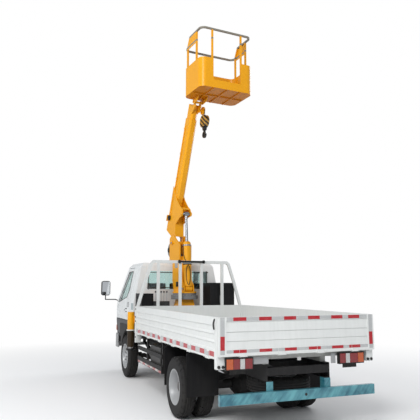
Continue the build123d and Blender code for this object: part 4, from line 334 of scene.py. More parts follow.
# Each door: a seal round its window, which leans in towards the roof, a pull over a black dish, and
# four louvres on the shell behind it.
SIDES = (("left", 1), ("right", -1))
WAIST_Z, WAIST_Y, LEAN = 1.37, 0.855, 0.14 / 0.69
door_window = [(2.115, 1.476), (2.016, 1.613), (2.025, 1.970), (2.342, 1.962), (2.755, 1.366)]
for side, sign in SIDES:
    door = f"cab_door_{side}"
    bead = [(x, sign * (WAIST_Y - (z - WAIST_Z) * LEAN + 0.001), z) for x, z in door_window]
    fit(tube(f"door_window_seal_{side}", bead, 0.007, order=2, closed=True), seal_rubber, door)
    pull = block(f"door_pull_{side}", (2.03, sign * 0.866 - 0.016, 1.222),
                 (2.13, sign * 0.866 + 0.016, 1.238), 0.005)
    fit_black(pull, door)
    dish = block(f"pull_dish_{side}", (2.020, sign * 0.8540, 1.198), (2.140, sign * 0.8605, 1.262),
                 0.0018)
    fit_black(dish, door)
    slats = [block("louvre", (1.865, sign * 0.853 - 0.006, 1.30 + row * 0.024),
                   (1.955, sign * 0.853 + 0.006, 1.312 + row * 0.024), 0.003) for row in range(4)]
    fit_black(join(f"cab_louvre_{side}", slats))

# Glass: toughened panes in the rubber seals, greenish, with a little dust on the outside.
# The windscreen and rear window stay with the shell, the side panes go with the doors.
glass, tree = new_finish("cab_glass")
film = noise(tree, object_space(tree), 3.0, 6.0)
surface(tree, ("Base Color", blend(tree, film, (0.62, 0.76, 0.74, 1), (0.70, 0.82, 0.80, 1))),
        ("Roughness", ramp(tree, film, 0.35, 0.7, 0.02, 0.14)), ("Transmission Weight", 1.0),
        ("IOR", 1.45))
dress(glass, "cab_glass", "door_glass_left", "door_glass_right")

# Cab inside: a moulded dark grey dashboard with the wheel on its column, a driver's seat and a
# bench for two, foam cushions under woven grey cloth on closed black stands.
dash_plastic = worn_finish("dash_plastic", (0.045, 0.046, 0.050), amount=0.08, gloss=0.55,
                           grain=420, relief=0.0006)
dress(dash_plastic, "dashboard")
seat_cloth, tree = new_finish("seat_cloth")
place = object_space(tree)
threads = [add_node(tree, "ShaderNodeTexWave", [("Vector", place), ("Scale", 55.0),
                                                ("Distortion", 0.4), ("Detail", 1.0)],
                    wave_type="BANDS", bands_direction=axis).outputs["Fac"] for axis in "XYZ"]
weave = maths(tree, "ADD", maths(tree, "MULTIPLY", threads[0], threads[1]), threads[2])
weave = maths(tree, "ADD", weave, noise(tree, place, 700.0, 2.0))
thread_tint = scaled(tree, (0.11, 0.115, 0.13), ramp(tree, weave, 0.2, 1.9, 0.6, 1.25))
surface(tree, ("Base Color", thread_tint), ("Roughness", 0.9),
        ("Normal", raised(tree, weave, 0.6, 0.0008)), ("Sheen Weight", 0.4),
        ("Sheen Roughness", 0.5))
FURTHEST_SWELL = 0.014


def cushion(name, low, high, lean, pivot):
    """A foam cushion: a block eased and leaned, then swelled by a cloth simulation."""
    piece = block(name, low, high, 0.03, 3)
    bpy.ops.object.mode_set(mode="EDIT")
    bpy.ops.mesh.select_all(action="SELECT")
    bpy.ops.transform.rotate(value=radians(lean), orient_axis="Y", center_override=pivot)
    bpy.ops.object.mode_set(mode="OBJECT")
    shell = piece.modifiers.new("shell", "REMESH")
    shell.mode = "VOXEL"
    shell.voxel_size = 0.012
    bpy.ops.object.modifier_apply(modifier="shell")
    rest = [point.co.copy() for point in piece.data.vertices]
    swell = piece.modifiers.new("swell", "CLOTH")
    swell.settings.use_pressure = True
    swell.settings.uniform_pressure_force = 4
    swell.settings.effector_weights.gravity = 0
    for moment in range(1, 21):
        scene.frame_set(moment)
    bpy.ops.object.modifier_apply(modifier="swell")
    scene.frame_set(1)
    for point, start in zip(piece.data.vertices, rest):
        move = point.co - start
        if move.length > FURTHEST_SWELL:
            point.co = start + move.normalized() * FURTHEST_SWELL
    smooth = piece.modifiers.new("smooth", "SUBSURF")
    smooth.levels = smooth.render_levels = 1
    bpy.ops.object.modifier_apply(modifier="smooth")
    bpy.ops.object.shade_smooth()
    fit(piece, seat_cloth, "truck")
    return piece


for name, low_y, high_y in (("driver", 0.160, 0.640), ("bench", -0.700, 0.100)):
    base = cushion(f"{name}_seat", (1.660, low_y, 1.130), (2.090, high_y, 1.235), -3.0,
                   (1.66, 0, 1.13))
    cushion(f"{name}_back", (1.620, low_y, 1.240), (1.705, high_y, 1.755), -8.5, (1.70, 0, 1.24))
    stand = block(f"{name}_seat_stand", (1.640, low_y + 0.02, 1.000), (2.070, high_y - 0.02, 1.128),
                  0.012)
    fit_black(stand)
    if name == "driver":
        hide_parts("seats")

# Cab outside: a grey bumper, fluted headlamps with an indicator at the outer end, a slotted grille,
# two wipers, a step and arch liner a side, and silvered mirrors in black housings.
bumper_grey = worn_finish("bumper_grey", (0.33, 0.34, 0.35), amount=0.35, gloss=0.4, grain=140)
silver = worn_finish("mirror_silver", (0.86, 0.88, 0.90), amount=0.06, gloss=0.04, metallic=1.0,
                     relief=0.00002)
lamp_glass, tree = new_finish("headlamp_glass")
flute = add_node(tree, "ShaderNodeTexWave", [("Vector", object_space(tree)), ("Scale", 18.0),
                                             ("Distortion", 0.2)],
                 wave_type="BANDS", bands_direction="Y").outputs["Fac"]
surface(tree, ("Base Color", ramp(tree, flute, 0.0, 1.0, 0.45, 0.78)), ("Roughness", 0.12),
        ("Metallic", 0.55), ("Normal", raised(tree, flute, 0.5, 0.002)), ("Coat Weight", 1.0),
        ("Coat Roughness", 0.03))
dress(black_trim, "wheel_arches", "mirrors")
dress(bumper_grey, "front_bumper")
dress(lamp_glass, "headlamps")


def lamp_finish(name, colour):
    """Moulded lamp plastic: clear coat over a colour with fine prisms, and a faint painted glow of
    that colour.
    """
    finish, tree = new_finish(name)
    prisms = add_node(tree, "ShaderNodeTexChecker", [("Vector", object_space(tree)),
                                                     ("Scale", 260.0)]).outputs["Fac"]
    tint = scaled(tree, colour, ramp(tree, prisms, 0.0, 1.0, 0.75, 1.1))
    surface(tree, ("Base Color", tint), ("Roughness", 0.2),
            ("Normal", raised(tree, prisms, 0.3, 0.0008)), ("Coat Weight", 1.0),
            ("Coat Roughness", 0.04), ("Emission Color", tint), ("Emission Strength", 0.06))
    return finish


amber_lens = lamp_finish("amber_lens", (0.46, 0.075, 0.004))
red_lens = lamp_finish("red_lens", (0.20, 0.002, 0.004))
clear_lens = lamp_finish("clear_lens", (0.50, 0.50, 0.49))
FRONT_X = 2.9353
for side, sign in SIDES:
    blinker = block(f"front_indicator_{side}", (FRONT_X, sign * 0.832 - 0.022, 0.79),
                    (FRONT_X + 0.02, sign * 0.832 + 0.022, 0.90), 0.008, 3)
    fit(blinker, amber_lens, "truck")
    step = block(f"cab_step_{side}", (2.475, sign * 0.80 - 0.052, 0.580),
                 (2.635, sign * 0.80 + 0.052, 0.592), 0.003)
    fit_black(step)
    mirror = block(f"mirror_glass_{side}", (2.9035, sign * 1.10 - 0.078, 1.512),
                   (2.9085, sign * 1.10 + 0.078, 1.780), 0.002)
    fit(mirror, silver, "truck")
slots = [block("slot", (FRONT_X - 0.001, -0.44, 1.02 + row * 0.045),
               (FRONT_X + 0.006, 0.44, 1.045 + row * 0.045), 0.003) for row in range(4)]
fit_black(join("grille_slots", slots))
wipers = []
for y in (0.32, -0.36):
    wipers.append(tube("wiper_arm", [(2.915, y, 1.395), (2.888, y - 0.08, 1.47),
                                     (2.850, y - 0.24, 1.56)], 0.006, 8))
    wipers.append(tube("wiper_blade", [(2.877, y - 0.02, 1.475), (2.851, y - 0.24, 1.549),
                                       (2.825, y - 0.46, 1.62)], 0.007, 8))
fit_black(join("wipers", wipers))

# Chassis: hot-rolled channels, springs, axles and driveline under satin black paint, thick with
# road dust. The tanks and the battery box hang off the rails, the mud flaps are black rubber.
chassis_black = worn_finish("chassis_black", (0.013, 0.013, 0.014), amount=0.16, gloss=0.5,
                            grain=140, shine=0.2, relief=0.0008, dust=(0.10, 0.09, 0.08))
cast_iron = worn_finish("cast_iron", (0.10, 0.10, 0.105), amount=0.45, gloss=0.6, grain=260,
                        relief=0.0016, dust=(0.15, 0.13, 0.11))
tank_grey = worn_finish("tank_grey", (0.035, 0.036, 0.038), amount=0.15, gloss=0.4, grain=120,
                        shine=0.3)
flap_rubber = worn_finish("flap_rubber", (0.008, 0.008, 0.009), amount=0.12, gloss=0.7, grain=320,
                          shine=0.15, relief=0.0008, dust=(0.07, 0.065, 0.06))
dress(chassis_black, "frame_rails", "front_axle", "rear_axle", "driveline", "side_guards",
      "knuckle_left", "knuckle_right")
dress(cast_iron, "engine_block")
dress(tank_grey, "side_tanks")
dress(flap_rubber, "mudguards")

# The fuel tank's filler cap, a black moulding, and the two steel straps that hold the tank.
cap = block("tank_cap", (0.30, -0.62, 0.7705), (0.36, -0.56, 0.800), 0.012, 3)
fit_black(cap)
straps = [block("strap", (x, -0.9035, 0.437), (x + 0.035, -0.4665, 0.7735), 0.003)
          for x in (-0.36, 0.25)]
fit(join("tank_straps", straps), bumper_grey, "truck")

# Side guards: old reflective tape on the rails, red and white lengths in turn, rubbed nearly bare.
# The bed's newer tape is the same film in fresher colours.


def faded_tape(name, red, white, wear):
    """Reflective tape: a honeycomb under the film, rubbed and dusty."""
    finish, tree = new_finish(name)
    place = object_space(tree)
    cells = add_node(tree, "ShaderNodeTexVoronoi", [("Vector", place), ("Scale", 240.0)],
                     feature="DISTANCE_TO_EDGE").outputs["Distance"]
    tint = scaled(tree, red, ramp(tree, cells, 0.0, 0.08, 0.78, 1.04))
    bare = ramp(tree, noise(tree, place, 9.0, 7.0), 0.52, 0.66, 0.0, wear)
    surface(tree, ("Base Color", blend(tree, bare, tint, (*white, 1))), ("Roughness", 0.28),
            ("Coat Weight", 0.4))
    return finish


tape_old_red = faded_tape("tape_old_red", (0.30, 0.02, 0.02), (0.22, 0.18, 0.16), 0.8)
tape_old_white = faded_tape("tape_old_white", (0.42, 0.40, 0.38), (0.2, 0.18, 0.16), 0.8)
for side, sign in SIDES:
    for kind, finish, first, count in (("red", tape_old_red, -0.68, 5),
                                       ("white", tape_old_white, -0.53, 4)):
        cuts = [block("cut", (first + index * 0.30, sign * 0.9502, 0.440),
                      (first + 0.15 + index * 0.30, sign * 0.9508, 0.472), 0.0002, 1)
                for index in range(count)]
        fit(join(f"guard_tape_{kind}_{side}", cuts), finish, "truck")

# Wheels: ribbed truck tyres on pressed silver steel discs with hand holes and a ring of nuts. The
# rear pairs share a hub, the spare lies flat under the tail.
tyre_rubber = worn_finish("tyre_rubber", (0.014, 0.014, 0.015), dust=(0.060, 0.055, 0.048),
                          amount=0.3, gloss=0.62, grain=150.0, relief=0.0012, strength=0.7,
                          shine=0.2)
rim_silver = worn_finish("rim_silver", (0.44, 0.45, 0.46), amount=0.14, gloss=0.32, grain=160,
                         relief=0.0004, metallic=0.15, dust=(0.22, 0.20, 0.175))
nut_steel = worn_finish("nut_steel", (0.34, 0.34, 0.35), amount=0.4, gloss=0.42, grain=240,
                        metallic=0.7)
CREASE = radians(32)
HOLE_RING = 0.168


def turned(name, course, steps=64):
    """A piece turned round the axis across the truck, from (across, radius) points."""
    bpy.ops.object.select_all(action="DESELECT")
    bpy.ops.mesh.primitive_plane_add(size=0.01)
    piece = bpy.context.object
    piece.name = name
    bpy.ops.object.mode_set(mode="EDIT")
    bpy.ops.mesh.select_mode(type="VERT")
    bpy.ops.mesh.merge(type="CENTER")
    bpy.ops.transform.translate(value=(0, course[0][0], course[0][1]))
    for start, end in zip(course, course[1:]):
        bpy.ops.mesh.extrude_vertices_move(
            TRANSFORM_OT_translate={"value": (0, end[0] - start[0], end[1] - start[1])})
    bpy.ops.mesh.select_all(action="SELECT")
    bpy.ops.mesh.spin(steps=steps, angle=2 * pi, center=(0, 0, 0), axis=(0, 1, 0))
    bpy.ops.mesh.select_all(action="SELECT")
    bpy.ops.mesh.remove_doubles(threshold=0.00005)
    bpy.ops.mesh.normals_make_consistent(inside=False)
    bpy.ops.object.mode_set(mode="OBJECT")
    bpy.ops.object.shade_smooth_by_angle(angle=CREASE)
    return piece


def place_at(x, y, z, degrees=0, axis="Z"):
    """The matrix of a place, with a turn about one axis."""
    return Matrix.Translation((x, y, z)) @ Matrix.Rotation(radians(degrees), 4, axis)


def set_down(piece, matrix):
    """Moves a piece made at the origin to its place, which its mesh then keeps."""
    piece.matrix_world = matrix
    pick(piece)
    bpy.ops.object.transform_apply(location=True, rotation=True, scale=True)
    return piece


def copy_of(piece, name):
    """A copy with its own mesh."""
    twin = piece.copy()
    twin.data = piece.data.copy()
    twin.name = name
    scene.collection.objects.link(twin)
    return twin


TREAD_STEPS = 72
half_tread = [(0.084, 0.222), (0.0925, 0.240), (0.0945, 0.262), (0.093, 0.268), (0.095, 0.290),
              (0.094, 0.325), (0.0905, 0.345), (0.085, 0.358), (0.076, 0.372), (0.0655, 0.3785),
              (0.051, 0.380), (0.0495, 0.3715), (0.0425, 0.3715), (0.041, 0.3808),
              (0.0205, 0.3816), (0.019, 0.3728), (0.0115, 0.3728), (0.010, 0.3818)]
tyre_course = half_tread + [(-y, radius) for y, radius in reversed(half_tread)]
tyre_course += [(-0.078, 0.2135), (0.078, 0.2135), tyre_course[0]]
tyre = turned("tyre", tyre_course, TREAD_STEPS)


def shoulder_gap(face):
    """Whether a face lies in every third step of the tyre's outer rib and shoulder."""
    spoke = Vector((face.center.x, face.center.z))
    step = int((spoke.angle_signed(Vector((1, 0))) + pi) / (2 * pi) * TREAD_STEPS)
    return step % 3 == 0 and 0.0530 < abs(face.center.y) < 0.0880 and spoke.length > 0.350 \
        and abs(face.normal.y) < 0.97


pick(tyre)
bpy.ops.object.mode_set(mode="EDIT")
bpy.ops.mesh.select_mode(type="FACE")
bpy.ops.mesh.select_all(action="DESELECT")
bpy.ops.object.mode_set(mode="OBJECT")
for face in tyre.data.polygons:
    face.select = shoulder_gap(face)
bpy.ops.object.mode_set(mode="EDIT")
bpy.ops.mesh.extrude_region_shrink_fatten(TRANSFORM_OT_shrink_fatten={"value": -0.006})
bpy.ops.object.mode_set(mode="OBJECT")
bpy.ops.object.shade_smooth_by_angle(angle=CREASE)


def hand_holed(rim, across):
    """Cuts the eight hand holes through a disc."""
    cutters = []
    for index in range(8):
        angle = radians(22.5 + 45 * index)
        bpy.ops.object.select_all(action="DESELECT")
        hole = (HOLE_RING * cos(angle), across, HOLE_RING * sin(angle))
        bpy.ops.mesh.primitive_cylinder_add(vertices=16, radius=0.021, depth=0.16, location=hole,
                                            rotation=(radians(90), 0, 0))
        cutters.append(bpy.context.object)
    cutter = join("hand_hole_cutter", cutters)
    bpy.ops.object.transform_apply(location=True, rotation=True, scale=True)
    pick(rim)
    cut = rim.modifiers.new("hand_holes", "BOOLEAN")
    cut.operation = "DIFFERENCE"
    cut.solver = "EXACT"
    cut.object = cutter
    bpy.ops.object.modifier_apply(modifier="hand_holes")
    bpy.data.objects.remove(cutter, do_unlink=True)
    bpy.ops.object.shade_smooth_by_angle(angle=CREASE)


def nut_ring(name, count, ring, across, size):
    """A ring of domed wheel nuts on their studs."""
    nuts = []
    for index in range(count):
        angle = 2 * pi * index / count
        spot = (ring * cos(angle), across, ring * sin(angle))
        bpy.ops.object.select_all(action="DESELECT")
        bpy.ops.mesh.primitive_cylinder_add(vertices=6, radius=size, depth=size * 1.5,
                                            location=spot, rotation=(radians(-90), 0, 0))
        nuts.append(bpy.context.object)
        bpy.ops.object.transform_apply(location=True, rotation=True, scale=True)
        bpy.ops.object.mode_set(mode="EDIT")
        bpy.ops.mesh.select_all(action="SELECT")
        bpy.ops.mesh.bevel(offset=size * 0.16, segments=2, affect="EDGES")
        bpy.ops.object.mode_set(mode="OBJECT")
    return join(name, nuts)


front_rim = turned("front_rim", [
    (0.088, 0.2262), (0.0905, 0.224), (0.0905, 0.217), (0.085, 0.2115), (0.07, 0.209),
    (0.056, 0.199), (0.04, 0.197), (0.03, 0.19), (0.029, 0.15), (0.038, 0.128), (0.06, 0.102),
    (0.066, 0.088), (0.066, 0.064), (0.074, 0.06), (0.086, 0.052), (0.09, 0.04), (0.092, 0.0),
    (0.016, 0.0), (0.016, 0.15), (0.017, 0.188), (0.024, 0.1985), (-0.056, 0.2), (-0.085, 0.2115),
    (-0.0905, 0.217), (-0.0905, 0.224), (-0.088, 0.2262), (-0.08, 0.214), (0.08, 0.214),
    (0.088, 0.2262)])
hand_holed(front_rim, 0.02)
front_nuts = nut_ring("front_nuts", 6, 0.0760, 0.074, 0.0135)
front_drum = turned("front_drum", [(-0.08, 0.0), (-0.08, 0.15), (0.016, 0.15), (0.016, 0.0)], 48)
deep_rim = turned("deep_rim", [
    (0.988, 0.2262), (0.9905, 0.224), (0.9905, 0.217), (0.985, 0.2115), (0.969, 0.209),
    (0.95, 0.1985), (0.85, 0.1955), (0.815, 0.19), (0.79, 0.178), (0.78, 0.156), (0.78, 0.0),
    (0.766, 0.0), (0.766, 0.16), (0.774, 0.186), (0.798, 0.204), (0.815, 0.212), (0.8095, 0.217),
    (0.8095, 0.224), (0.812, 0.2262), (0.82, 0.214), (0.98, 0.214), (0.988, 0.2262)])
hand_holed(deep_rim, 0.775)
rear_hub = turned("rear_hub", [(0.781, 0.0), (0.781, 0.098), (0.800, 0.092), (0.812, 0.076),
                               (0.905, 0.070), (0.912, 0.062), (0.926, 0.058), (0.930, 0.045),
                               (0.930, 0.0)], 40)
rear_nuts = nut_ring("rear_nuts", 6, 0.1180, 0.790, 0.0150)
rear_drum = turned("rear_drum", [(0.562, 0.0), (0.562, 0.150), (0.716, 0.150), (0.740, 0.110),
                                 (0.760, 0.095), (0.760, 0.0)], 48)

FRONT_AXLE_X, REAR_AXLE_X, AXLE_Z, FRONT_TRACK = 1.928, -1.432, 0.382, 0.800
centred = place_at(0, 0, 0)
for side, sign in SIDES:
    turn = 90 - 90 * sign
    front = place_at(FRONT_AXLE_X, sign * FRONT_TRACK, AXLE_Z, turn)
    for source, finish, slot in ((tyre, tyre_rubber, "tyre_rubber"),
                                 (front_rim, rim_silver, "zinc_steel"),
                                 (front_nuts, nut_steel, "zinc_steel"),
                                 (front_drum, cast_iron, "cast_block")):
        piece = set_down(copy_of(source, f"{source.name}_front_{side}"), front)
        fit(piece, finish, f"front_wheel_{side}")
        if source == tyre:
            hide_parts(f"front_wheel_{side}")
    rear = place_at(REAR_AXLE_X, 0, AXLE_Z, turn)
    for source, label, shift, finish, slot in (
            (tyre, "outer", place_at(0, 0.900, 0), tyre_rubber, "tyre_rubber"),
            (tyre, "inner", place_at(0, 0.650, 0), tyre_rubber, "tyre_rubber"),
            (deep_rim, "outer", centred, rim_silver, "zinc_steel"),
            (deep_rim, "inner", place_at(0, 1.550, 0, 180), rim_silver, "zinc_steel"),
            (rear_hub, "outer", centred, cast_iron, "cast_block"),
            (rear_nuts, "outer", centred, nut_steel, "zinc_steel"),
            (rear_drum, "inner", centred, cast_iron, "cast_block")):
        piece = set_down(copy_of(source, f"{source.name}_{label}_rear_{side}"), rear @ shift)
        fit(piece, finish, f"rear_wheels_{side}")
        if source == tyre and label == "outer":
            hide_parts(f"rear_wheels_{side}")

# Spare wheel: a tyre and rim like the front ones, laid flat under the tail and hung on a short
# post.
SPARE_X = -2.415
for source, finish, slot in ((tyre, tyre_rubber, "tyre_rubber"),
                             (front_rim, rim_silver, "zinc_steel")):
    piece = set_down(copy_of(source, f"{source.name}_spare"), place_at(SPARE_X, 0, 0.540, 90, "X"))
    fit(piece, finish, "truck")
    if source == tyre:
        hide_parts("spare_wheel")
post = turned("spare_post", [(0.575, 0.0), (0.575, 0.060), (0.620, 0.060), (0.640, 0.040),
                             (0.700, 0.040), (0.700, 0.0)], 24)
set_down(post, place_at(SPARE_X, 0, 0, 90, "X"))
fit(post, chassis_black, "truck")
for source in (tyre, front_rim, front_nuts, front_drum, deep_rim, rear_hub, rear_nuts, rear_drum):
    bpy.data.objects.remove(source, do_unlink=True)

# Bed: a steel floor on bearers between corner posts, with pressed white sides that hinge down, and
# a rack of white tube on the headboard.
bed_white = worn_finish("bed_white", (0.74, 0.755, 0.74), amount=0.16, gloss=0.32, grain=100,
                        relief=0.0002, coat=0.25, dust=(0.36, 0.35, 0.32))
deck_paint = worn_finish("deck_paint", (0.50, 0.51, 0.49), amount=0.55, gloss=0.5, grain=60,
                         relief=0.0006, dust=(0.26, 0.24, 0.21))
dress(bed_white, "bed_posts", "dropside_left", "dropside_right", "tailgate", "headboard_rack")
dress(deck_paint, "bed_floor")

# Reflective tape: red and grey cells along the sides' lower edges and round the tailgate, stuck
# over the panel and over each hinge's strap.
HALF_STRAP, TAPE = 0.0402, 0.0006
CELL, SIDE_START, SIDE_END = 0.1455, -2.846, 0.645
SIDE_HINGES = [-2.670 + index * 0.6278 for index in range(6)]
GATE_HINGES = (-0.7171, -0.249, 0.249, 0.7171)
tape_red = faded_tape("tape_red", (0.42, 0.006, 0.014), (0.62, 0.30, 0.30), 0.10)
tape_grey = faded_tape("tape_grey", (0.46, 0.47, 0.47), (0.62, 0.63, 0.62), 0.3)


def cut_at_straps(low, high, hinges):
    """Cuts a cell where the straps begin and end: (low, high, whether it lies over a strap)."""
    cuts = [low] + [x for hinge in hinges for x in (hinge - HALF_STRAP, hinge + HALF_STRAP)
                    if low < x < high] + [high]
    return [(a, b, any(abs((a + b) / 2 - hinge) < HALF_STRAP for hinge in hinges))
            for a, b in zip(cuts, cuts[1:])]


for side, sign in SIDES:
    cells = {"red": [], "grey": []}
    for index in range(24):
        start = SIDE_START + index * CELL
        kind, low_z, high_z = ("grey", 0.922, 0.984) if index % 2 else ("red", 0.926, 0.979)
        for x0, x1, over in cut_at_straps(start, min(start + CELL, SIDE_END), SIDE_HINGES):
            y = 1.0062 if over else 1.0002
            top = min(high_z, 0.9695) if over else high_z
            cells[kind].append(block("cell", (x0, sign * y, low_z), (x1, sign * (y + TAPE), top),
                                     0.0002, 1))
    for kind, finish in (("red", tape_red), ("grey", tape_grey)):
        tape = join(f"side_tape_{kind}_{side}", cells[kind])
        fit(tape, finish, f"dropside_{side}")

GATE_X, STRAP_X, GATE_EDGE, RED_CELL = -2.9702, -2.9762, 0.905, 0.155
gate_cells = {"red": [], "grey": []}
for low_z, high_z in ((1.3035, 1.343), (0.9685, 1.002)):
    edge = GATE_EDGE
    for start in (0.827, 0.5185, 0.210, -0.0985, -0.407, -0.642, -1.06):
        for kind, high_y, low_y in (("grey", edge, start), ("red", start, start - RED_CELL)):
            low_y = max(low_y, -GATE_EDGE)
            if high_y - low_y < 0.01:
                continue
            for y0, y1, over in cut_at_straps(low_y, high_y, GATE_HINGES):
                x = STRAP_X if over and low_z < 1 else GATE_X
                gate_cells[kind].append(block("cell", (x - TAPE, y0, low_z), (x, y1, high_z),
                                              0.0002, 1))
        edge = start - RED_CELL
for sign in (1, -1):
    for kind, low_z, high_z in (("red", 1.000, 1.145), ("grey", 1.146, 1.343),
                                ("grey", 0.955, 0.999)):
        gate_cells[kind].append(block("cell", (GATE_X - TAPE, sign * 0.927, low_z),
                                      (GATE_X, sign * 0.978, high_z), 0.0002, 1))
for kind, finish in (("red", tape_red), ("grey", tape_grey)):
    fit(join(f"gate_tape_{kind}", gate_cells[kind]), finish, "tailgate")

# Bed's fittings: a latch lever on a white plate at each rear post, rubber stops and bolts on the
# posts, and a black sleeve on the rack's bar where the boom rests.
for side, sign in SIDES:
    y = sign * 1.0005
    plate = block(f"latch_plate_{side}", (-2.908, y, 1.205), (-2.874, y + sign * 0.008, 1.335),
                  0.003)
    fit(plate, bed_white, "truck")
    lever = tube(f"latch_lever_{side}", [(-2.891, y + sign * 0.012, 1.325),
                                         (-2.893, y + sign * 0.026, 1.295),
                                         (-2.894, y + sign * 0.028, 1.250),
                                         (-2.892, y + sign * 0.018, 1.215)], 0.008, 8)
    fit_black(lever)
    stops = []
    for inset in (0.022, 0.070):
        stop = turned("stop", [(0, 0), (0, 0.017), (0.006, 0.017), (0.014, 0.013), (0.016, 0)], 20)
        stops.append(set_down(stop, place_at(-2.926, sign * (1.0 - inset), 0.825, 90)))
    for x, z in ((0.675, 0.84), (0.690, 1.10), (0.690, 1.17), (0.690, 1.30)):
        stop = turned("stop", [(0, 0), (0, 0.014), (0.004, 0.014), (0.009, 0.01), (0.01, 0)], 16)
        stops.append(set_down(stop, place_at(x, sign * 1.0, z, 90 - 90 * sign)))
    fit_black(join(f"post_stops_{side}", stops))
half_sleeve = [(-0.2475, 0), (-0.2475, 0.024), (-0.2440, 0.0285), (-0.2130, 0.0285),
               (-0.2110, 0.020), (-0.2080, 0.0165)]
sleeve = turned("boom_rest_sleeve",
                half_sleeve + [(-y, radius) for y, radius in reversed(half_sleeve)], 24)
set_down(sleeve, place_at(0.7053, 0, 2.115))
fit_black(sleeve)

# Tail lamps: a black moulded cluster a side with four lenses. Between them a bracket for the number
# plate, its small lamp and a hook's bracket.
dress(black_trim, "tail_lamps")
for side, lenses in (("left", ((0.903, 0.826, amber_lens), (0.822, 0.748, red_lens),
                               (0.744, 0.690, clear_lens), (0.686, 0.600, red_lens))),
                     ("right", ((-0.518, -0.594, red_lens), (-0.598, -0.652, clear_lens),
                                (-0.656, -0.762, red_lens), (-0.766, -0.843, amber_lens)))):
    for index, (y1, y0, finish) in enumerate(lenses):
        lens = block(f"tail_lens_{side}_{index}", (-2.966, y0, 0.799), (-2.957, y1, 0.906),
                     0.004, 3)
        fit(lens, finish, "truck")
bracket = block("plate_bracket", (-2.934, 0.392, 0.838), (-2.930, 0.575, 0.917), 0.0015)
fit(bracket, bumper_grey, "truck")
lamp = block("number_lamp", (-2.946, -0.012, 0.855), (-2.930, 0.034, 0.892), 0.004, 3)
fit(lamp, clear_lens, "truck")
bracket = block("hook_bracket", (-2.934, -0.475, 0.800), (-2.926, -0.412, 0.917), 0.003)
fit(bracket, bumper_grey, "truck")

# Underrun bar: a box section still in its blue-green film, with air trapped in slanting folds, and
# one round hole in its face.
film, tree = new_finish("film_wrap")
place = object_space(tree)
tilted = add_node(tree, "ShaderNodeMapping", [("Vector", place),
                                              ("Rotation", (radians(-38), 0, 0))])
slant = add_node(tree, "ShaderNodeMapping", [("Vector", tilted.outputs[0]),
                                             ("Scale", (1.0, 22.0, 2.5))])
folds = noise(tree, slant.outputs[0], 1.1, 5.0, 0.65)
pale = ramp(tree, maths(tree, "ADD", folds, noise(tree, place, 5.5, 3.0)), 0.78, 1.26)
surface(tree, ("Base Color", blend(tree, pale, (0.012, 0.115, 0.165, 1), (0.110, 0.360, 0.405, 1))),
        ("Roughness", 0.3), ("Normal", raised(tree, folds, 0.8, 0.004)), ("Coat Weight", 0.6),
        ("Coat Roughness", 0.15))
dress(film, "underrun_bar")
hole = turned("underrun_hole", [(0, 0), (0, 0.016), (0.002, 0.016), (0.004, 0.008), (0.004, 0)], 20)
set_down(hole, place_at(-2.962, -0.055, 0.488, 90))
fit_black(hole)

# Crane: welded plate and box sections in one coat of orange-yellow, on a grey slewing ring. The
# outriggers' jacks are yellow above a pale collar and dark below it; tank and tool box are black.


def yellow_finish(name):
    """The crane's paint."""
    return worn_finish(name, (0.84, 0.37, 0.006), amount=0.06, gloss=0.34, grain=120, relief=0.0002,
                       shine=0.3, dust=(0.30, 0.17, 0.05))


crane_yellow = yellow_finish("crane_yellow")
base_paint = banded(yellow_finish("crane_base_paint"), ((0.20, 0.20, 0.20), 1.448, 1.562),
                    ((0.030, 0.031, 0.035), 0.0, 1.034))
jack_paint = banded(yellow_finish("jack_paint"), ((0.62, 0.62, 0.58), 0.914, 0.936),
                    ((0.030, 0.018, 0.007), 0.0, 0.914))
leg_steel = worn_finish("leg_steel", (0.40, 0.40, 0.41), amount=0.3, gloss=0.3, grain=160,
                        metallic=0.7)
banded(leg_steel, ((0.03, 0.03, 0.03), 0.0, 0.612))
rod_chrome = worn_finish("rod_chrome", (0.36, 0.37, 0.39), amount=0.04, gloss=0.28, grain=240,
                         metallic=1.0, relief=0.00002)
winch_grey = worn_finish("winch_grey", (0.22, 0.22, 0.23), amount=0.3, gloss=0.42, grain=150,
                         metallic=0.3)
valve_grey = worn_finish("valve_grey", (0.022, 0.022, 0.024), amount=0.2, gloss=0.4, grain=160)
banded(valve_grey, ((0.55, 0.55, 0.56), 1.4205, 1.569), ((0.015, 0.015, 0.016), 1.569, 1.62))
box_black = worn_finish("box_black", (0.009, 0.009, 0.010), amount=0.10, gloss=0.4, grain=120,
                        shine=0.2, relief=0.0003, dust=(0.12, 0.11, 0.10))
dress(crane_yellow, "crane_column", "boom_outer", "boom_inner", "lift_barrel")
dress(base_paint, "crane_base")
dress(jack_paint, "outrigger_beam_left", "outrigger_beam_right")
dress(leg_steel, "outrigger_leg_left", "outrigger_leg_right")
dress(rod_chrome, "lift_rod")
dress(winch_grey, "winch")
dress(valve_grey, "control_valves")
dress(box_black, "deck_boxes")

# Slewing ring and winch: a ring of hexagon bolts, steel rope wound on the drum in eleven turns, and
# the winch's round motor. The crane stands at CRANE_X and is slewed by SLEW in the photo.
CRANE_X, SLEW = 1.095, 5
BOLTS, BOLT_RING = 24, 0.229
crane = place_at(CRANE_X, 0, 0, SLEW)
drum = crane @ place_at(0.505, 0, 2.375)
heads = []
for index in range(BOLTS):
    angle = 2 * pi * (index + 0.5) / BOLTS
    spot = place_at(CRANE_X + BOLT_RING * cos(angle), BOLT_RING * sin(angle), 1.5225, 90, "X")
    heads.append(set_down(nut_ring("ring_bolt", 1, 0.0, 0.0, 0.011), spot))
fit(join("ring_bolts", heads), nut_steel, "truck")
coil = [(-0.0590, 0.080)]
for index in range(11):
    across = -0.0535 + index * 0.0107
    coil += [(across - 0.0048, 0.0945), (across, 0.0990), (across + 0.0048, 0.0945)]
coil += [(0.0590, 0.080), (-0.0590, 0.080)]
rope_steel = worn_finish("rope_steel", (0.24, 0.23, 0.22), amount=0.3, gloss=0.45, grain=500,
                         metallic=0.6, relief=0.001)
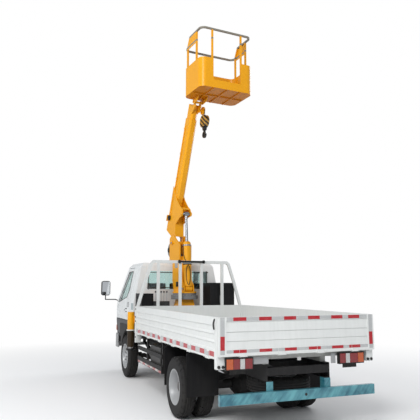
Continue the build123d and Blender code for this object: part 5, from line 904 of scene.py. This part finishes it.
fit(set_down(turned("drum_rope", coil, 48), drum), rope_steel, "turret")
motor = turned("winch_motor", [(0.093, 0), (0.093, 0.052), (0.115, 0.052), (0.118, 0.048),
                               (0.119, 0.044), (0.119, 0.0)], 32)
fit(set_down(motor, drum), box_black, "turret")

# Column's fittings: steel keeper plates over the ends of the boom's and the cylinder's pins, a
# blank data plate and a black motor cover.
keepers = []
for x, z, y in ((0.300, 2.500, 0.1452), (-0.165, 1.640, 0.1122)):
    for sign in (1, -1):
        keeper = block("keeper", (x - 0.035, sign * y, z - 0.013),
                       (x + 0.035, sign * (y + 0.006), z + 0.013), 0.002)
        keepers.append(set_down(keeper, crane))
fit(join("pin_keepers", keepers), nut_steel, "turret")
plate_grey = worn_finish("plate_grey", (0.34, 0.35, 0.36), amount=0.15, gloss=0.4, grain=200)
plate = block("blank_plate", (0.03, 0.1202, 2.02), (0.17, 0.1222, 2.12), 0.001, 1)
fit(set_down(plate, crane), plate_grey, "turret")
cover = block("motor_cover", (0.010, 0.1202, 1.675), (0.090, 0.132, 1.765), 0.011, 4)
fit(set_down(cover, crane), box_black, "turret")

# Boom's fittings: two steel oil pipes clipped along its left flank, and a bracket with a dark reel
# of cable. They are placed in the boom's own frame: along it, to the right, out of its upper side.
rise = radians(67.4)
boom = crane @ place_at(0.3, 0, 2.5) @ Matrix((
    (-cos(rise), 0, sin(rise), 0), (0, -1, 0, 0), (sin(rise), 0, cos(rise), 0), (0, 0, 0, 1)))
pipes = []
for shift in (0.0, 0.020):
    pipe = tube("pipe", [(0.35, -0.092, 0.395 + shift), (0.80, -0.092, 0.395 + shift),
                         (1.04, -0.083, 0.380 + shift), (1.60, -0.081, 0.380 + shift),
                         (2.20, -0.081, 0.380 + shift)], 0.0045, 8, 2)
    pipes.append(set_down(pipe, boom))
for along, y in ((0.45, -0.087), (1.15, -0.075), (1.65, -0.075), (2.12, -0.075)):
    clip = block("clip", (along, y - 0.014, 0.368), (along + 0.03, y, 0.428), 0.003)
    pipes.append(set_down(clip, boom))
fit(join("boom_pipes", pipes), crane_yellow, "boom")
bracket = block("reel_bracket", (0.30, -0.1305, 0.46), (0.42, -0.087, 0.474), 0.003)
fit(set_down(bracket, boom), crane_yellow, "boom")
reel = turned("cable_reel", [(-0.090, 0), (-0.090, 0.048), (-0.096, 0.050), (-0.099, 0.044),
                             (-0.106, 0.044), (-0.110, 0.050), (-0.116, 0.048), (-0.116, 0)], 28)
fit(set_down(reel, boom @ place_at(0.38, 0, 0.405)), box_black, "boom")

# Lift cylinder's fittings: black hoses looped over the back of the barrel, held by a clamp, and a
# steel port block round it higher up.
foot = Vector((0.930628, -0.014381, 1.64))
eye = Vector((1.04238, -0.004604, 3.017122))
ahead = (eye - foot).normalized()
left = Vector((-sin(radians(SLEW)), cos(radians(SLEW)), 0))
back = ahead.cross(left).normalized()
upright = Matrix.Translation(foot) @ ahead.to_track_quat("Y", "X").to_matrix().to_4x4()


def on_barrel(along, angle, radius):
    """A point by the barrel: how far up it, turned how far left of its back, how far out."""
    return foot + ahead * along + (left * sin(radians(angle)) + back * cos(radians(angle))) * radius


loops = [tube("hose", [on_barrel(along, angle, 0.081) for along, angle in course], 0.0060, 10)
         for course in (((0.06, 16), (0.09, 34), (0.24, 46), (0.38, 38), (0.42, 14), (0.38, -10),
                         (0.24, -16), (0.12, -6), (0.07, 6)),
                        ((0.42, 14), (0.50, 50), (0.60, 78), (0.76, 84), (0.81, 80)))]
clamp = turned("clamp", [(0.430, 0.071), (0.430, 0.0765), (0.455, 0.0765), (0.455, 0.071),
                         (0.430, 0.071)], 32)
loops.append(set_down(clamp, upright))
fit(join("barrel_hoses", loops), black_trim, "cylinder_barrel")
port = turned("port_block", [(0.775, 0.0715), (0.775, 0.0790), (0.800, 0.0790), (0.800, 0.0715),
                             (0.775, 0.0715)], 32)
fit(set_down(port, upright), nut_steel, "cylinder_barrel")

# Tool box and oil tank: black sheet boxes with folded lid edges, two hasps, a filler and a clear
# level gauge on the tank's back.
fittings = [block("lid_edge", (0.894, 0.6395, 1.480), (1.336, 0.8505, 1.490), 0.002),
            block("lid_edge", (0.824, -0.8805, 1.660), (1.366, -0.3995, 1.668), 0.002)]
for x in (1.00, 1.22):
    fittings.append(block("hasp", (x - 0.02, 0.8505, 1.455), (x + 0.02, 0.8585, 1.505), 0.003))
fittings.append(block("filler_neck", (1.03, -0.66, 1.7435), (1.10, -0.59, 1.7448), 0.0004, 1))
fit(join("box_fittings", fittings), box_black, "truck")
# The gauge takes the clear lens finish, and with it the same faint painted glow.
gauge = block("level_gauge", (0.8175, -0.62, 1.33), (0.8245, -0.595, 1.52), 0.003)
fit(gauge, clear_lens, "truck")

# Basket: folded sheet, yellow in and out, with painted shade in deep orange along its underside,
# and grey hoops on yellow posts. The rails' two hoops show as bands of grey at their heights.
HOOP_GREY = (0.24, 0.22, 0.18)
# The low band is painted shade: the tub's own yellow, made deep orange where its underside faces
# down.
tub_paint = banded(yellow_finish("tub_paint"), ((0.56, 0.185, 0.003), 5.05, 5.0815))
dress(tub_paint, "basket_tub")
rail_paint = banded(yellow_finish("rail_paint"), (HOOP_GREY, 6.1385, 6.18),
                    (HOOP_GREY, 5.969, 6.0005))
dress(rail_paint, "basket_rails")

# Hook block: cheeks in black and yellow warning stripes, a black forged hook, a steel rope. The
# stripes slant across the cheeks and are rubbed by use.
PITCH, DARK_WIDTH, CHEEK_LOW, CHEEK_HIGH = 0.085, 0.043, 4.579, 4.800
stripes, tree = new_finish("warning_stripes")
place = object_space(tree)
x, y, z = add_node(tree, "ShaderNodeSeparateXYZ", [(0, place)]).outputs
slope = maths(tree, "MULTIPLY_ADD", maths(tree, "ADD", x, y), -0.75, z)
lit = maths(tree, "GREATER_THAN", maths(tree, "MODULO", slope, PITCH), DARK_WIDTH)
lit = maths(tree, "MULTIPLY", lit, maths(tree, "GREATER_THAN", z, CHEEK_LOW))
lit = maths(tree, "MULTIPLY", lit, maths(tree, "LESS_THAN", z, CHEEK_HIGH))
grime = noise(tree, place, 22.0, 6.0)
tint = scaled(tree, blend(tree, lit, (0.018, 0.017, 0.016, 1), (0.62, 0.34, 0.06, 1)),
              ramp(tree, grime, 0.35, 0.7, 1.0, 0.35))
surface(tree, ("Base Color", tint), ("Roughness", 0.42),
        ("Normal", raised(tree, grime, 0.4, 0.001)))
dress(stripes, "hook_block")
